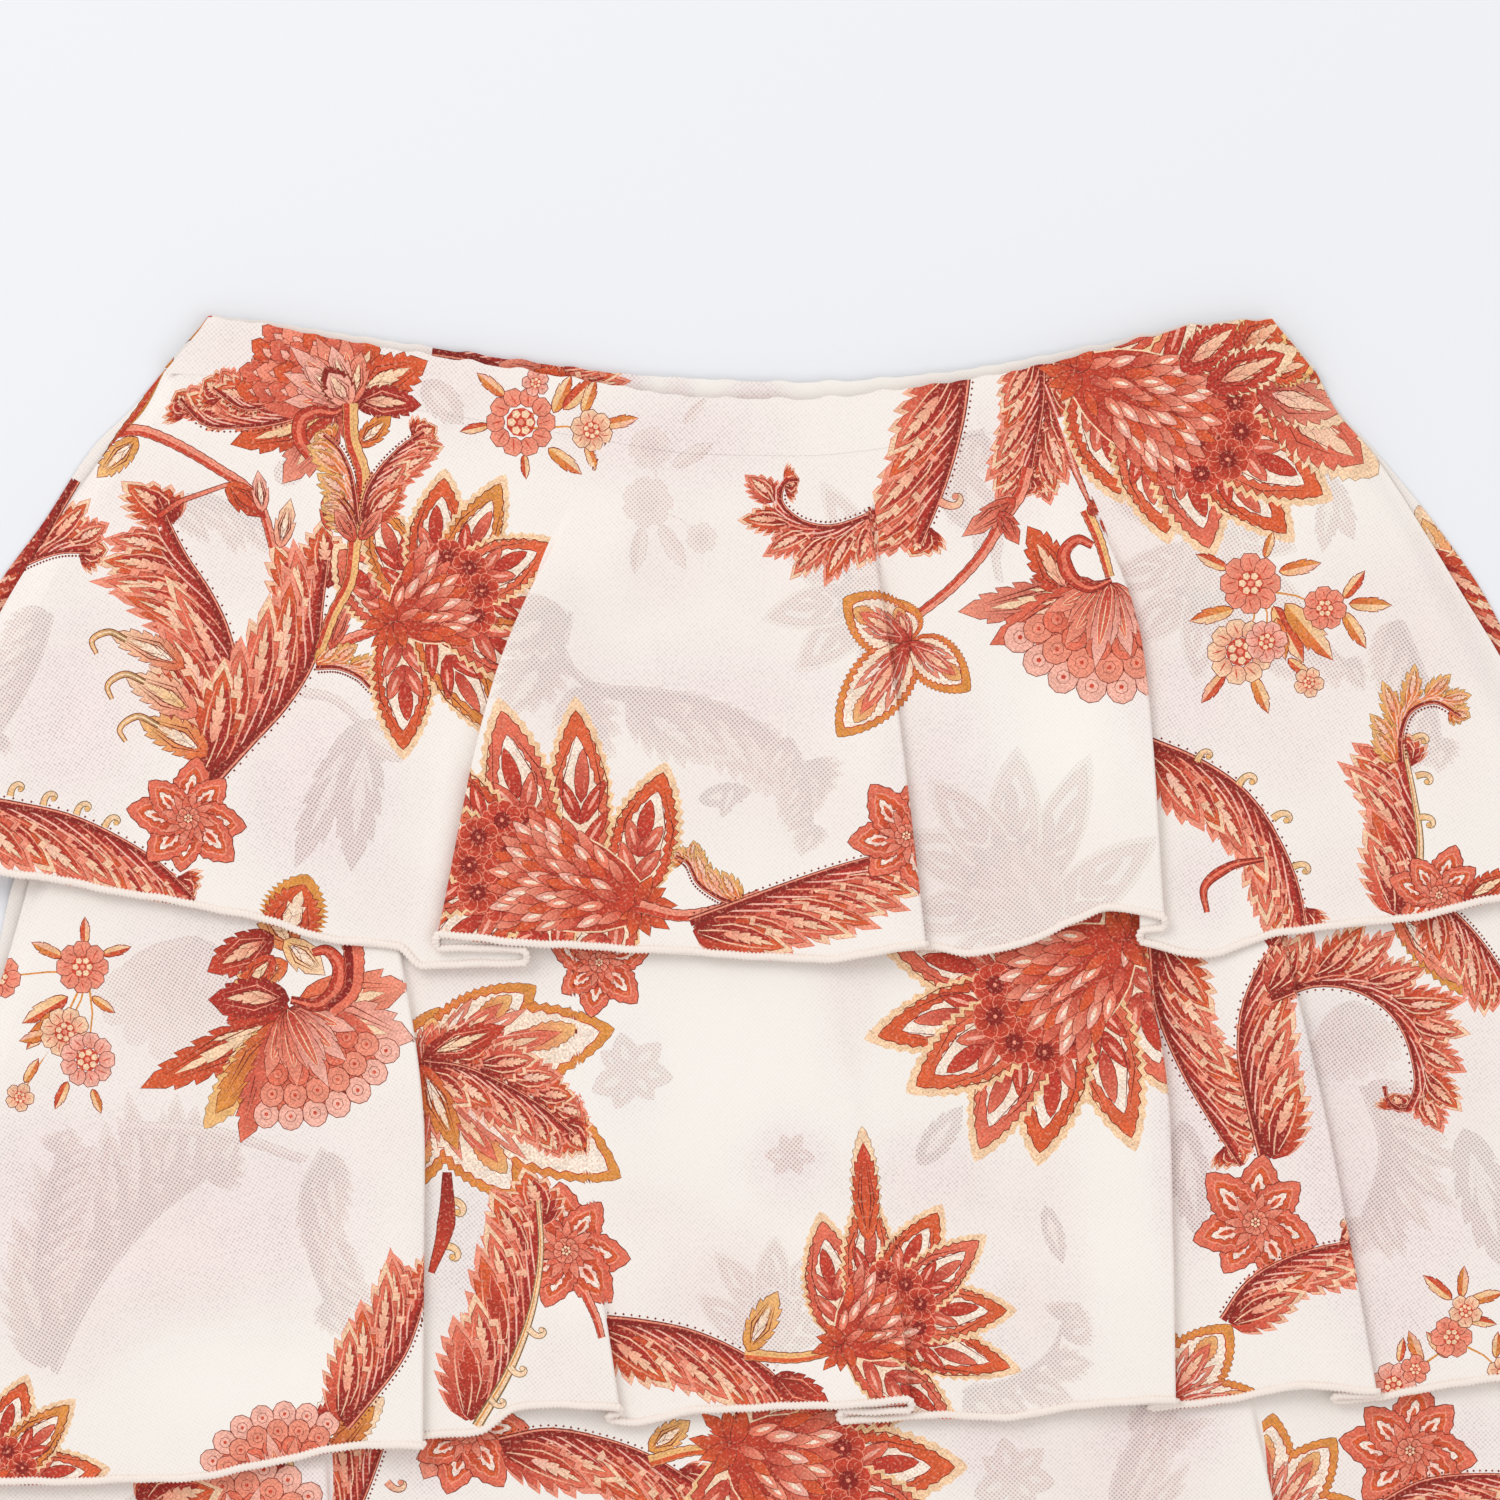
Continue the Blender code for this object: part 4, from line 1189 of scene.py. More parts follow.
class ClothMesh:
    """Gathers patches and folded bands of one cloth, and makes its mesh."""

    def __init__(self, name: str, clouds: Iterable[Cloud], grid: float) -> None:
        """An empty mesh.

        Args:
            name: Name of the piece.
            clouds: Tones of the bare cloth.
            grid: Spacing of the cloth's own points.
        """
        self.name = name
        self.clouds = tuple(clouds)
        self.grid = grid
        self.bare: list[Array] = []
        self.places: list[Array] = []
        self.normals: list[Array] = []
        self.faces: list[Array] = []
        self.colours: list[Array] = []
        self.net: list[Array] = []
        self.count = 0

    def patch(self, outline: Array, shapes: list[Shape], height: Callable[[Array, Array], Array],
              tilt: float) -> None:
        """Adds a flat-cut patch, meshed along its outline and the edges of its print.

        Args:
            outline: x and drop around it.
            shapes: The print.
            height: Height of the cloth at x and drop.
            tilt: Degrees that the net is turned.
        """
        low, high = outline.min(0), outline.max(0)
        shapes = [s for s in shapes if (s.points.max(0) > low).all() and (s.points.min(0) < high).all()]
        columns, rows = (np.arange(low[axis], high[axis], self.grid) for axis in (0, 1))
        grid = np.stack(np.meshgrid(columns, rows), -1)
        grid[1::2, :, 0] += self.grid / 2
        grid = grid.reshape(-1, 2)
        grid = grid[holds(outline, grid)]
        loops, seen = showing(shapes)
        loops, seen = [outline, *loops], [np.ones(len(outline), bool), *seen]
        edges, count = [], 0
        for loop, kept in zip(loops, seen):
            ring = np.arange(len(loop)) + count
            edges.append(np.stack([ring, np.roll(ring, -1)], 1)[kept])
            count += len(loop)
        edges = np.concatenate(edges)
        used, edges = np.unique(edges, return_inverse=True)
        points = np.concatenate([np.concatenate(loops)[used], grid])
        result = delaunay_2d_cdt([Vector(p) for p in points], edges.reshape(-1, 2).tolist(), [],
                                 0, WELD, False)
        spots = np.array([tuple(v) for v in result[0]])
        faces = np.array(result[2])
        faces = faces[holds(outline, spots[faces].mean(1))]
        owner = topmost(shapes, spots[faces].mean(1))
        colours = inked(shapes, np.repeat(owner, 3), spots[faces].reshape(-1, 2)).reshape(-1, 3, 4)
        x, drop = spots.T
        z = height(x, drop)
        step = SLOPE_STEP
        slope_x = (height(x + step, drop) - height(x - step, drop)) / (2 * step)
        slope_d = (height(x, drop + step) - height(x, drop - step)) / (2 * step)
        normals = np.stack([-slope_x, slope_d, np.ones_like(z)], 1)
        a, b, c = (spots[faces[:, i]] for i in range(3))
        turn = (b[:, 0] - a[:, 0]) * (c[:, 1] - a[:, 1]) - (b[:, 1] - a[:, 1]) * (c[:, 0] - a[:, 0])
        wrong = turn > 0
        faces[wrong] = faces[wrong][:, ::-1]
        colours[wrong] = colours[wrong][:, ::-1]
        self._add(np.stack([x, drop, z], 1), normals, faces, colours, turned(spots, tilt))

    def band(self, x: Array, drop: Array, z: Array, cloth_x: Array, shapes: list[Shape],
             tilt: float) -> None:
        """Adds a folded band as a grid of rows down and columns across.

        Args:
            x: Place across of each point.
            drop: Drop of each point.
            z: Height of each point.
            cloth_x: Where each point lies on the cloth as cut.
            shapes: The print.
            tilt: Degrees that the net is turned.
        """
        rows, columns = x.shape
        place = np.stack([x, -drop, z], 2)
        normals = np.cross(np.gradient(place, axis=0), np.gradient(place, axis=1)).reshape(-1, 3)
        index = np.arange(rows * columns).reshape(rows, columns)
        a, b, c, d = index[:-1, :-1], index[:-1, 1:], index[1:, 1:], index[1:, :-1]
        faces = np.concatenate([np.stack([a, d, c], -1).reshape(-1, 3),
                                np.stack([a, c, b], -1).reshape(-1, 3)])
        spots = np.stack([cloth_x, drop], 2).reshape(-1, 2)
        owner = topmost(shapes, spots[faces].mean(1))
        colours = inked(shapes, np.repeat(owner, 3), spots[faces].reshape(-1, 2)).reshape(-1, 3, 4)
        self._add(np.stack([x, drop, z], 2).reshape(-1, 3), normals, faces, colours,
                  turned(spots, tilt))

    def _add(self, places: Array, normals: Array, faces: Array, colours: Array, net: Array) -> None:
        """Keeps one part of the mesh, dropping the points that no face uses."""
        used = np.unique(faces)
        index = np.zeros(len(places), int)
        index[used] = np.arange(len(used))
        self.places.append(places[used])
        self.normals.append(normals[used])
        self.net.append(net[used])
        self.bare.append(clouded(self.clouds, *places[used, :2].T))
        self.faces.append(index[faces] + self.count)
        self.colours.append(colours)
        self.count += len(used)

    def build(self) -> bpy.types.Object:
        """Makes the mesh, with its print, its bare tone and its net coordinates."""
        places, normals = np.concatenate(self.places), np.concatenate(self.normals)
        faces, colours, net = (np.concatenate(part) for part in (self.faces, self.colours, self.net))
        normals /= np.linalg.norm(normals, axis=1, keepdims=True) + 1e-12
        points = np.stack([places[:, 0], LENGTH / 2 - places[:, 1], places[:, 2]], 1) * MM
        mesh = bpy.data.meshes.new(self.name)
        mesh.vertices.add(len(points))
        mesh.vertices.foreach_set("co", points.astype(np.float32).ravel())
        mesh.loops.add(faces.size)
        mesh.loops.foreach_set("vertex_index", faces.astype(np.int32).ravel())
        mesh.polygons.add(len(faces))
        mesh.polygons.foreach_set("loop_start", np.arange(0, faces.size, 3, dtype=np.int32))
        mesh.update(calc_edges=True)
        mesh.shade_smooth()
        printed = mesh.attributes.new("print", "BYTE_COLOR", "CORNER")
        printed.data.foreach_set("color", colours.astype(np.float32).ravel())
        bare = mesh.attributes.new("bare", "FLOAT_COLOR", "POINT")
        bare.data.foreach_set("color", np.concatenate(self.bare).astype(np.float32).ravel())
        layer = mesh.uv_layers.new(name="net")
        layer.data.foreach_set("uv", (net[faces.ravel()] * MM).astype(np.float32).ravel())
        mesh.normals_split_custom_set_from_vertices(normals.astype(np.float32))
        piece = bpy.data.objects.new(self.name, mesh)
        bpy.context.scene.collection.objects.link(piece)
        return piece


@dataclass
class Layer:
    """One cut piece of cloth, between a seam, two side edges and a hem."""

    name: str
    node: str
    slot: str
    #   stated flat size, in metres, which isn't always the whole cut, see Skirt
    flat: tuple[float, float]
    rests_on: tuple[str, ...]
    seam: Table
    hems: tuple[Table, ...]
    left: Table
    right: Table
    level: Table = ()
    folds: tuple[Fold, ...] = ()
    outer_hem: Table = ()
    rolled: bool = False            # the sides roll down on the piece beneath
    on_surface: bool = False        # a back tier, flat on the surface
    lift: float = 0.0               # height of the shell over the solid's mid wall
    motifs: tuple[Motif, ...] = ()
    beneath: tuple[Motif, ...] = ()     # print of the layer below that shows through
    clouds: tuple[Cloud, ...] = ()
    creases: tuple[Crease, ...] = ()
    tilts: tuple[float, ...] = (0.0,)
    grid: float = 3.6               # spacing of the mesh's own points
    fine: bool = True               # whether the print's finest strokes are cut too
    every: bool = False             # the print of all the strips runs on into this one
    seam_points: int = 60

    def build(self) -> bpy.types.Object:
        """Makes the piece: a patch for each strip and a band for each fold."""
        mesh = ClothMesh(self.name, self.clouds, self.grid)
        share = np.linspace(0, 1, BAND_ROWS + 1)
        cuts = [FoldCut(fold, share) for fold in self.folds]
        starts = [curve(self.left, share)] + [cut.end for cut in cuts]
        ends = [cut.start for cut in cuts] + [curve(self.right, share)]
        prints = [self.printed(strip) for strip in range(len(self.hems))]
        for strip in range(len(self.hems)):
            foot = np.linspace(starts[strip][-1], ends[strip][-1], FOOT_POINTS)[1:-1]
            top = np.linspace(ends[strip][0], starts[strip][0], self.seam_points)[1:-1]
            across = np.concatenate([starts[strip], foot, ends[strip][::-1], top])
            shares = np.concatenate([share, np.ones_like(foot), share[::-1], np.zeros_like(top)])
            outline = np.stack([across, self.dropped(across, curve(self.hems[strip], across), shares)], 1)
            mesh.patch(outline, prints[strip],
                       lambda x, drop, strip=strip: self.height(strip, x, drop),
                       self.tilts[strip % len(self.tilts)])
        for place, cut in enumerate(cuts):
            x, z, along, gone = cut.points()
            near, far = curve(self.hems[place], ends[place]), curve(self.hems[place + 1], starts[place + 1])
            hem = near[:, None] + (far - near)[:, None] * along
            drop = self.dropped(x, hem, share[:, None])
            z = z + curve(self.level, drop) + self.lift + creased(self.creases, x, drop)
            over = place if cut.left_over else place + 1
            if cut.left_over:
                cloth_x = ends[place][:, None] + gone
            else:
                cloth_x = starts[place + 1][:, None] - (gone[:, -1:] - gone)
            mesh.band(x, drop, z, cloth_x, prints[over], self.tilts[over % len(self.tilts)])
        return mesh.build()

    def printed(self, strip: int) -> list[Shape]:
        """The shapes seen on one strip: what shows through it, then its own print."""
        seen = []
        for cloth, motifs in ((Print(veiled=True), self.beneath), (Print(self.fine), self.motifs)):
            for motif in motifs:
                if self.every or motif.strips[0] <= strip <= motif.strips[1]:
                    motif.draw(cloth)
            seen += cloth.shapes
        return seen

    def dropped(self, x: Array, hem: Array, share: Array) -> Array:
        """Drop at a share of the way from the seam to a drop of the hem."""
        return curve(self.seam, x) * (1 - share) + hem * share

    def height(self, strip: int, x: Array, drop: Array) -> Array:
        """Height of the shell on one strip, with its lifted folds, creases and rolled sides."""
        if self.on_surface:
            return back_height(self.outer_hem, x, drop) + self.lift
        seam = curve(self.seam, x)
        share = np.clip((drop - seam) / (curve(self.hems[strip], x) - seam), 0, 1)
        z = curve(self.level, drop) + self.lift + creased(self.creases, x, drop)
        if strip > 0 and self.folds[strip - 1].over is Over.RIGHT:
            cut = FoldCut(self.folds[strip - 1], share)
            z = z + cut.rise * (1 - smooth((x - cut.end - LIFTED * cut.flat) / EASE))
        if strip < len(self.folds) and self.folds[strip].over is Over.LEFT:
            cut = FoldCut(self.folds[strip], share)
            z = z + cut.rise * (1 - smooth((cut.start - x - LIFTED * cut.flat) / EASE))
        if not self.rolled:
            return z
        inside = np.minimum(x - curve(self.left, share), curve(self.right, share) - x)
        roll = SIDE_ROLL[0] + (SIDE_ROLL[1] - SIDE_ROLL[0]) * share
        rest = back_height(self.outer_hem, x, drop - FRONT_LAG) + PITCH
        return rest + (z - rest) * smooth(inside / roll)

    def hem_line(self) -> Array:
        """x, drop and height along the hem, round each fold, in millimetres."""
        rows = []
        share = np.ones(1)
        cuts = [FoldCut(fold, share) for fold in self.folds]
        starts = [curve(self.left, share)[0]] + [cut.end[0] for cut in cuts]
        ends = [cut.start[0] for cut in cuts] + [curve(self.right, share)[0]]
        for strip, hem in enumerate(self.hems):
            x = np.linspace(starts[strip], ends[strip], HEM_POINTS)
            drop = curve(hem, x)
            rows.append(np.stack([x, drop, self.height(strip, x, drop)], 1))
            if strip < len(cuts):
                x, z, along, _ = (part[0] for part in cuts[strip].points())
                far = curve(self.hems[strip + 1], starts[strip + 1])
                drop = drop[-1] + (far - drop[-1]) * along
                z = z + curve(self.level, drop) + self.lift + creased(self.creases, x, drop)
                rows.append(np.stack([x, drop, z], 1)[1:-1])
        return np.concatenate(rows)


@dataclass(frozen=True)
class Overlock:
    """The overlocked edge of a ruffle: cream thread wrapped slantwise round the cut edge."""

    width: float = 2.5
    thick: float = 1.3
    pitch: float = 1.3          # one wrap of thread to the next; really about 0.9 mm
    steps: int = 4              # rings to a wrap
    sides: int = 8

    def build(self, name: str, line: Array, seed: float) -> bpy.types.Object:
        """Makes the wrapped edge along a hem.

        Args:
            name: Name of the piece.
            line: x, drop and height along the cut edge, in millimetres.
            seed: Starts the edge's gentle waver.

        Returns:
            The piece, with no material yet.
        """
        gone = np.concatenate([[0], np.cumsum(np.linalg.norm(np.diff(line, axis=0), axis=1))])
        count = int(gone[-1] / self.pitch * self.steps)
        at = np.linspace(0, gone[-1], count)
        spine = np.stack([np.interp(at, gone, line[:, k]) for k in range(3)], 1)
        waver = np.sin(at / 5.3 + seed) * 0.22 + np.sin(at / 2.1 + 2 * seed) * 0.1
        spine[:, 1] += waver - self.width / 2 + 0.1
        spine[:, 2] += 0.35 * np.sin(at / 7.7 + 3 * seed) ** 2
        spine[:, 2] = np.maximum(spine[:, 2], self.thick * 0.57)
        spine = np.stack([spine[:, 0], LENGTH / 2 - spine[:, 1], spine[:, 2]], 1)
        along = np.gradient(spine, axis=0)
        along /= np.linalg.norm(along, axis=1, keepdims=True)
        across = np.cross((0.0, 0.0, 1.0), along)
        across /= np.linalg.norm(across, axis=1, keepdims=True) + 1e-9
        up = np.cross(along, across)
        a = np.arange(self.sides) * 2 * math.pi / self.sides
        wrap = np.cos(2 * math.pi * at[:, None] / self.pitch + 1.6 * np.cos(a))
        swell = 1 + 0.2 * wrap
        rings = (spine[:, None] + across[:, None] * (np.cos(a) * self.width / 2 * swell)[..., None]
                 + up[:, None] * (np.sin(a) * self.thick / 2 * swell)[..., None])
        index = np.arange(count * self.sides).reshape(count, self.sides)
        nearer, beside = index[:-1], np.roll(index, -1, 1)
        quads = np.stack([nearer, index[1:], beside[1:], beside[:-1]], -1).reshape(-1, 4)
        mesh = bpy.data.meshes.new(name)
        mesh.from_pydata((rings.reshape(-1, 3) * MM).tolist(), [],
                         quads.tolist() + [index[0].tolist(), index[-1][::-1].tolist()])
        mesh.shade_smooth()
        piece = bpy.data.objects.new(name, mesh)
        bpy.context.scene.collection.objects.link(piece)
        return piece


# ------------------------------------------------------------------ what is printed where

PRINT_1 = (
    # first strip
    Feather((0, 0), ((-171, 140), (-166, 129.5), (-161.5, 117.5), (-164, 101.5), (-170, 88.5),
            (-177.5, 77), (-182.5, 67), (-186, 59)), 25, 8, -1, 4, tip=0.62, flare=0.46),
    Feather((0, 0), ((-169, 150.5), (-157, 137.5), (-144, 123), (-136, 109), (-134, 94.5),
            (-132, 78.5)), 25, 8, -1, tip=0.7, flare=0.16),
    Leaf((0, 0), -177.5, 113, -201, 102, 9, Ink.ORANGE, Ink.PEACH, None, Ink.CREAM, 6, -0.16),
    Scroll((0, 0), ((-196, 104), (-201.5, 101.5), (-207, 104.5), (-205.5, 108.5)), (1.6, 1.8, 0.9),
           Ink.OLIVE, Ink.HONEY, Ink.PEACH),
    Leaf((0, 0), -173.5, 128.5, -196, 115.5, 11, Ink.CORAL, Ink.PEACH, None, Ink.HONEY, 6, -0.16),
    Scroll((0, 0), ((-190, 117.5), (-196.5, 115), (-202, 119), (-200.5, 123)), (1.6, 1.8, 0.9),
           Ink.OLIVE, Ink.HONEY, Ink.PEACH),
    Leaf((0, 0), -170, 141, -191.5, 129.5, 11, Ink.ORANGE, Ink.HONEY, None, Ink.CREAM, 6, -0.16),
    Scroll((0, 0), ((-185.5, 131.5), (-192.5, 128.5), (-198, 133), (-196, 136.5)), (1.6, 1.8, 0.9),
           Ink.OLIVE, Ink.HONEY, Ink.PEACH),
    Feather((0, 0), ((-238, 85.5), (-227, 79), (-217, 76), (-207.5, 76)), 13, 4, -1, tip=0.5, flare=0.1),
    Feather((0, 0), ((-249.5, 154), (-230.5, 157), (-214.5, 160.5), (-198.5, 167.5), (-184.5, 176.5),
            (-174, 187)), 21, 9, 1, tip=0.3, flare=0.12),
    Hooks((0, 0), ((-233, 155, 9, -70, 1), (-222.5, 158, 9, -70, 1), (-212, 161, 9, -65, 1),
          (-203, 165, 9, -60, 1))),
    Star((0, 0), -176, 161, 19, 8, -90),
    Leaf((0, 0), -192.5, 39.5, -205.5, 52, 8, Ink.OCHRE, Ink.HONEY, None, Ink.CREAM, 6),
    Stalk((0, 0), ((-207.5, 44), (-203.5, 39.5), (-192.5, 37), (-184.5, 39.5), (-175.5, 44),
          (-166.5, 49.5), (-157, 56), (-152.5, 63), (-149, 74.5)), 3.2),
    Leaf((0, 0), -164, 54, -151.5, 65, 8, Ink.ORANGE, Ink.CRIMSON, None, None, 0),
    Leaf((0, 0), -152.5, 63, -154, 50, 5, Ink.SALMON, Ink.PINK, None, Ink.CREAM, 0),
    Leaf((0, 0), -147, 74.5, -143.5, 59, 6, Ink.SALMON, Ink.PEACH, None, Ink.CREAM, 0),
    Scroll((0, 0), ((-164, 54.5), (-172.5, 57.5), (-179, 60), (-185.5, 64.5)), (1.0, 1.2, 1.6),
           Ink.SALMON, Ink.BRICK),
    Leaf((0, 0), -131, 69, -132, 56.5, 5, Ink.BRICK, Ink.CORAL, None, None, 0),
    Stalk((0, 0), ((-134, 108), (-125, 104), (-117, 101), (-109.5, 98)), 3.4),
    Feather((0, 0), ((-135.5, 113), (-128.5, 113), (-121.5, 116), (-116, 120.5), (-111.5, 118)), 7, 5,
            -1, tip=0.3, flare=0.2, gold=True),
    Leaf((0, 0), -131, 107, -124, 91, 5, Ink.BRICK, Ink.SALMON, None, None, 0),
    Bloom((0, 0), -94.5, 90, -111.5, 99, 45, 9, 130, True, 0.15),
    # the flower at its waist
    Leaf((0, 0), -126.5, 29, -146, 54, 13, Ink.CRIMSON, Ink.SALMON, None, Ink.PINK),
    Leaf((0, 0), -129.5, 31, -162.5, 41.5, 12, Ink.CRIMSON, Ink.ORANGE, None, Ink.HONEY, 5, 0.1),
    Feather((0, 0), ((-132, 28.5), (-144, 33.5), (-160, 36), (-171, 35), (-179, 27)), 11, 5, 1, tip=0.5,
            flare=0.12, fringe=Ink.ORANGE),
    Feather((0, 0), ((-133, 27), (-145.5, 28), (-158.5, 30), (-168.5, 23.5)), 9, 4, 1, tip=0.6,
            flare=0.1, fringe=Ink.CORAL),
    Leaf((0, 0), -124, 25.5, -116.5, 7.5, 11, Ink.CRIMSON, Ink.ORANGE, None, Ink.PEACH),
    Leaf((0, 0), -123.5, 26, -100, 15, 14, Ink.BRICK, Ink.ORANGE, None, Ink.PEACH, 6, 0.08),
    Leaf((0, 0), -123, 28, -102, 29, 10, Ink.MAROON, Ink.CRIMSON, None, Ink.SALMON, 6, 0.1),
    Carnation((0, 0), -124, 28, 36, -138, 46, 5, True),
    Leaf((0, 0), -125, 28.5, -139, 16.5, 7, Ink.SALMON, Ink.PINK, None, Ink.CREAM, 3),
    Leaf((0, 0), -124, 28.5, -121, 12, 7, Ink.CORAL, Ink.SALMON, None, Ink.PEACH, 3),
    Leaf((0, 0), -124.5, 28.5, -130.5, 10, 7, Ink.SALMON, Ink.PINK, None, Ink.CREAM, 3),
    Leaf((0, 0), -124.5, 29, -132.5, 17, 10, Ink.SALMON, Ink.PINK, Ink.MAROON, Ink.PINK, 3),
    Scroll((0, 0), ((-125, 29), (-129.5, 31.5), (-135, 31), (-140, 33.5), (-140.5, 40), (-137, 45)),
           (1.5, 4.5, 4), Ink.MAROON, Ink.BRICK, Ink.CORAL),
    Leaf((0, 0), -122, 42, -111.5, 32.5, 7, Ink.ORANGE, Ink.OCHRE, None, Ink.CREAM, 4),
    Stalk((0, 0), ((-124.5, 28.5), (-124, 40), (-120.5, 51), (-121.5, 62.5), (-123, 72.5), (-125, 86.5),
          (-129.5, 95), (-134, 107)), 4.2, Ink.BRICK, Ink.HONEY),
    Feather((0, 0), ((-121, 65.5), (-119, 56.5), (-114, 48.5), (-107.5, 42), (-101, 37.5)), 11, 5, 1,
            tip=0.5, flare=0.14, fringe=Ink.ORANGE),
    Feather((0, 0), ((-122, 67), (-123, 58), (-125, 49), (-128.5, 42.5), (-133, 38.5)), 9, 4, -1,
            tip=0.4, flare=0.3, gold=True),
    Feather((0, 0), ((-122.5, 69), (-125, 63), (-128, 59)), 7, 3, -1, tip=0.4, flare=0.5, gold=True),
    Leaf((0, 0), -123, 72.5, -129.5, 62.5, 5, Ink.BRICK, Ink.SALMON, None, None, 0),
    Leaf((0, 0), -121.5, 72, -114, 62, 5, Ink.BRICK, Ink.SALMON, None, None, 0),
    Posy((0, 1), -70, 34.5, 10.5, 0, Ink.CORAL, ((0, 0, 1, 10), (2.15, 0.25, 0.62, 6),
         (0.45, -1.2, 0.4, 5)), ((-1.0, 0.1, 168, 0.95), (-0.5, -0.8, -140, 1.2), (1.0, -0.3, -65, 1.4),
         (1.3, -0.4, -45, 1.5), (0.85, 0.8, 38, 1.4), (2.5, 0.1, -12, 1.2), (0.1, 1.0, 85, 0.8),
         (2.0, 0.7, 70, 0.9), (1.9, -0.3, -70, 1.2))),
    Leaf((0, 0), -146, 201.5, -138, 179, 20, Ink.CRIMSON, Ink.ORANGE, Ink.OCHRE, Ink.CREAM, 8),
    # second strip
    Bloom((1, 1), -72.5, 175.5, -29, 190, 51, 9, 128),
    Stalk((1, 1), ((-32, 189), (-19, 192), (-6.5, 190), (6.5, 185)), 3.4),
    Feather((1, 1), ((-0.5, 189), (-7.5, 186), (-13.5, 181.5), (-17, 175), (-20.5, 173)), 8, 5, 1,
            tip=0.3, flare=0.2, gold=True),
    Feather((1, 1), ((-16, 194), (0, 188), (16, 182), (32, 176.5), (48, 172)), 21, 8, 1, tip=0.8,
            flare=0.16),
    Star((1, 1), 53, 166.5, 19, 7, -82),
    Feather((1, 1), ((48, 60), (38, 65.5), (27.5, 68), (18.5, 65.5), (13, 59), (14.5, 54), (19, 53)),
            12, 7, -1, tip=0.2, flare=0.25),
    Leaf((1, 1), 48, 57.5, 53, 65.5, 8, Ink.CRIMSON, Ink.SALMON),
    # third strip
    Feather((2, 2), ((72.5, 17.5), (70.5, 33.5), (65.5, 53), (57.5, 73.5)), 23, 6, 1, tip=0.35, flare=0.14),
    Hooks((2, 2), ((62.5, 59, 12, 20, -1),), Ink.SALMON),
    Feather((1, 2), ((96.5, 12), (96.5, 27), (94, 43), (91.5, 56.5)), 14, 6, 1, tip=0.3, back=12,
            flare=0.1),
    Scroll((2, 2), ((97.5, 22.5), (103, 37), (107, 49.5), (112, 61)), (1.5, 2.4, 1.2), Ink.CRIMSON,
           Ink.CORAL, Ink.PINK),
    Stalk((2, 2), ((92, 49), (89.5, 57.5), (84, 65.5), (78.5, 75), (69, 86), (53, 99)), 3.2),
    Leaf((2, 2), 88, 59, 71, 71, 7, Ink.BRICK, Ink.SALMON, None, None, 0),
    Leaf((2, 2), 83, 63, 89, 73.5, 6, Ink.CRIMSON, Ink.CORAL, None, None, 0),
    GoldFlower((1, 2), 54, 104.5, ((-110, 14, 13), (-150, 25, 19), (124, 38, 20), (36, 25, 16)), 1.9),
    Leaf((2, 2), 115, 86.5, 70, 95, 13, Ink.CRIMSON, Ink.SALMON, None, Ink.PEACH, 7, 0.1),
    Leaf((2, 2), 107, 91, 92, 68, 12, Ink.CRIMSON, Ink.ORANGE, None, Ink.SALMON, 6, 0.12),
    Leaf((2, 2), 115, 88, 80, 105.5, 12, Ink.BRICK, Ink.CORAL, None, Ink.PINK, 6, -0.08),
    Carnation((2, 2), 118, 86, 37, 100, 62),
    Scroll((2, 2), ((118.5, 85), (111.5, 87.5), (105, 83), (103.5, 76), (108, 72), (112.5, 74)),
           (1.5, 4.5, 2), Ink.MAROON, Ink.BRICK, Ink.CORAL),
    Stalk((2, 2), ((110.5, 62.5), (114.5, 72), (118, 84)), 3.2, Ink.BRICK, Ink.HONEY),
    Leaf((2, 2), 116.5, 65.5, 126, 70, 6, Ink.CRIMSON, Ink.ORANGE, None, None, 4),
    Leaf((2, 2), 111.5, 64, 116.5, 58.5, 5, Ink.CRIMSON, Ink.ORANGE, None, None, 4),
    # last strip
    Bloom((3, 3), 145.5, 36, 105, 17, 54, 9, 110, False, -0.42),
    Leaf((3, 3), 169.5, 26, 204, 51, 24, Ink.BRICK, Ink.CORAL, Ink.PEACH, Ink.PINK, 7),
    Leaf((3, 3), 165, 24, 196, 32.5, 16, Ink.CRIMSON, Ink.SALMON, Ink.PEACH, Ink.PINK, 6),
    Leaf((3, 3), 167, 18, 184.5, 15.5, 12, Ink.BRICK, Ink.ORANGE, Ink.HONEY, Ink.CORAL, 6),
    Leaf((3, 3), 141, 18, 162, 1, 14, Ink.CRIMSON, Ink.BRICK, Ink.PEACH, Ink.SALMON, 6),
    Leaf((3, 3), 158.5, 12, 176, 0.5, 15, Ink.CRIMSON, Ink.ORANGE, Ink.HONEY, Ink.ORANGE, 6),
    Leaf((3, 3), 149, 23.5, 178, 11, 14, Ink.CRIMSON, Ink.BRICK, Ink.PEACH, Ink.SALMON, 7),
    Posy((3, 3), 163, 86, 9.3),
    Feather((3, 3), ((131, 136.5), (145.5, 142.5), (160.5, 152.5), (171.5, 168), (178, 184),
            (180.5, 198.5)), 20, 9, 1, tip=0.4, flare=0.14),
    Hooks((3, 3), ((145.5, 144, 9, -60, 1), (158.5, 151.5, 10, -50, 1), (169, 162, 10, -30, 1),
          (175.5, 177, 9, -15, 1))),
    Scroll((3, 3), ((167, 174), (156, 176.5), (148, 183.5), (149, 191)), (1.0, 3.0, 1.2), Ink.MAROON,
           Ink.BRICK, Ink.CORAL),
    Feather((3, 3), ((212, 193), (216, 181), (217, 169.5), (215, 154), (212, 139)), 20, 6, -1, 0, True,
            0.5, flare=0.3),
    Feather((3, 3), ((211, 143), (211, 134.5), (214, 127), (221.5, 124), (230, 128.5)), 9, 6, -1,
            tip=0.5, flare=0.2, gold=True),
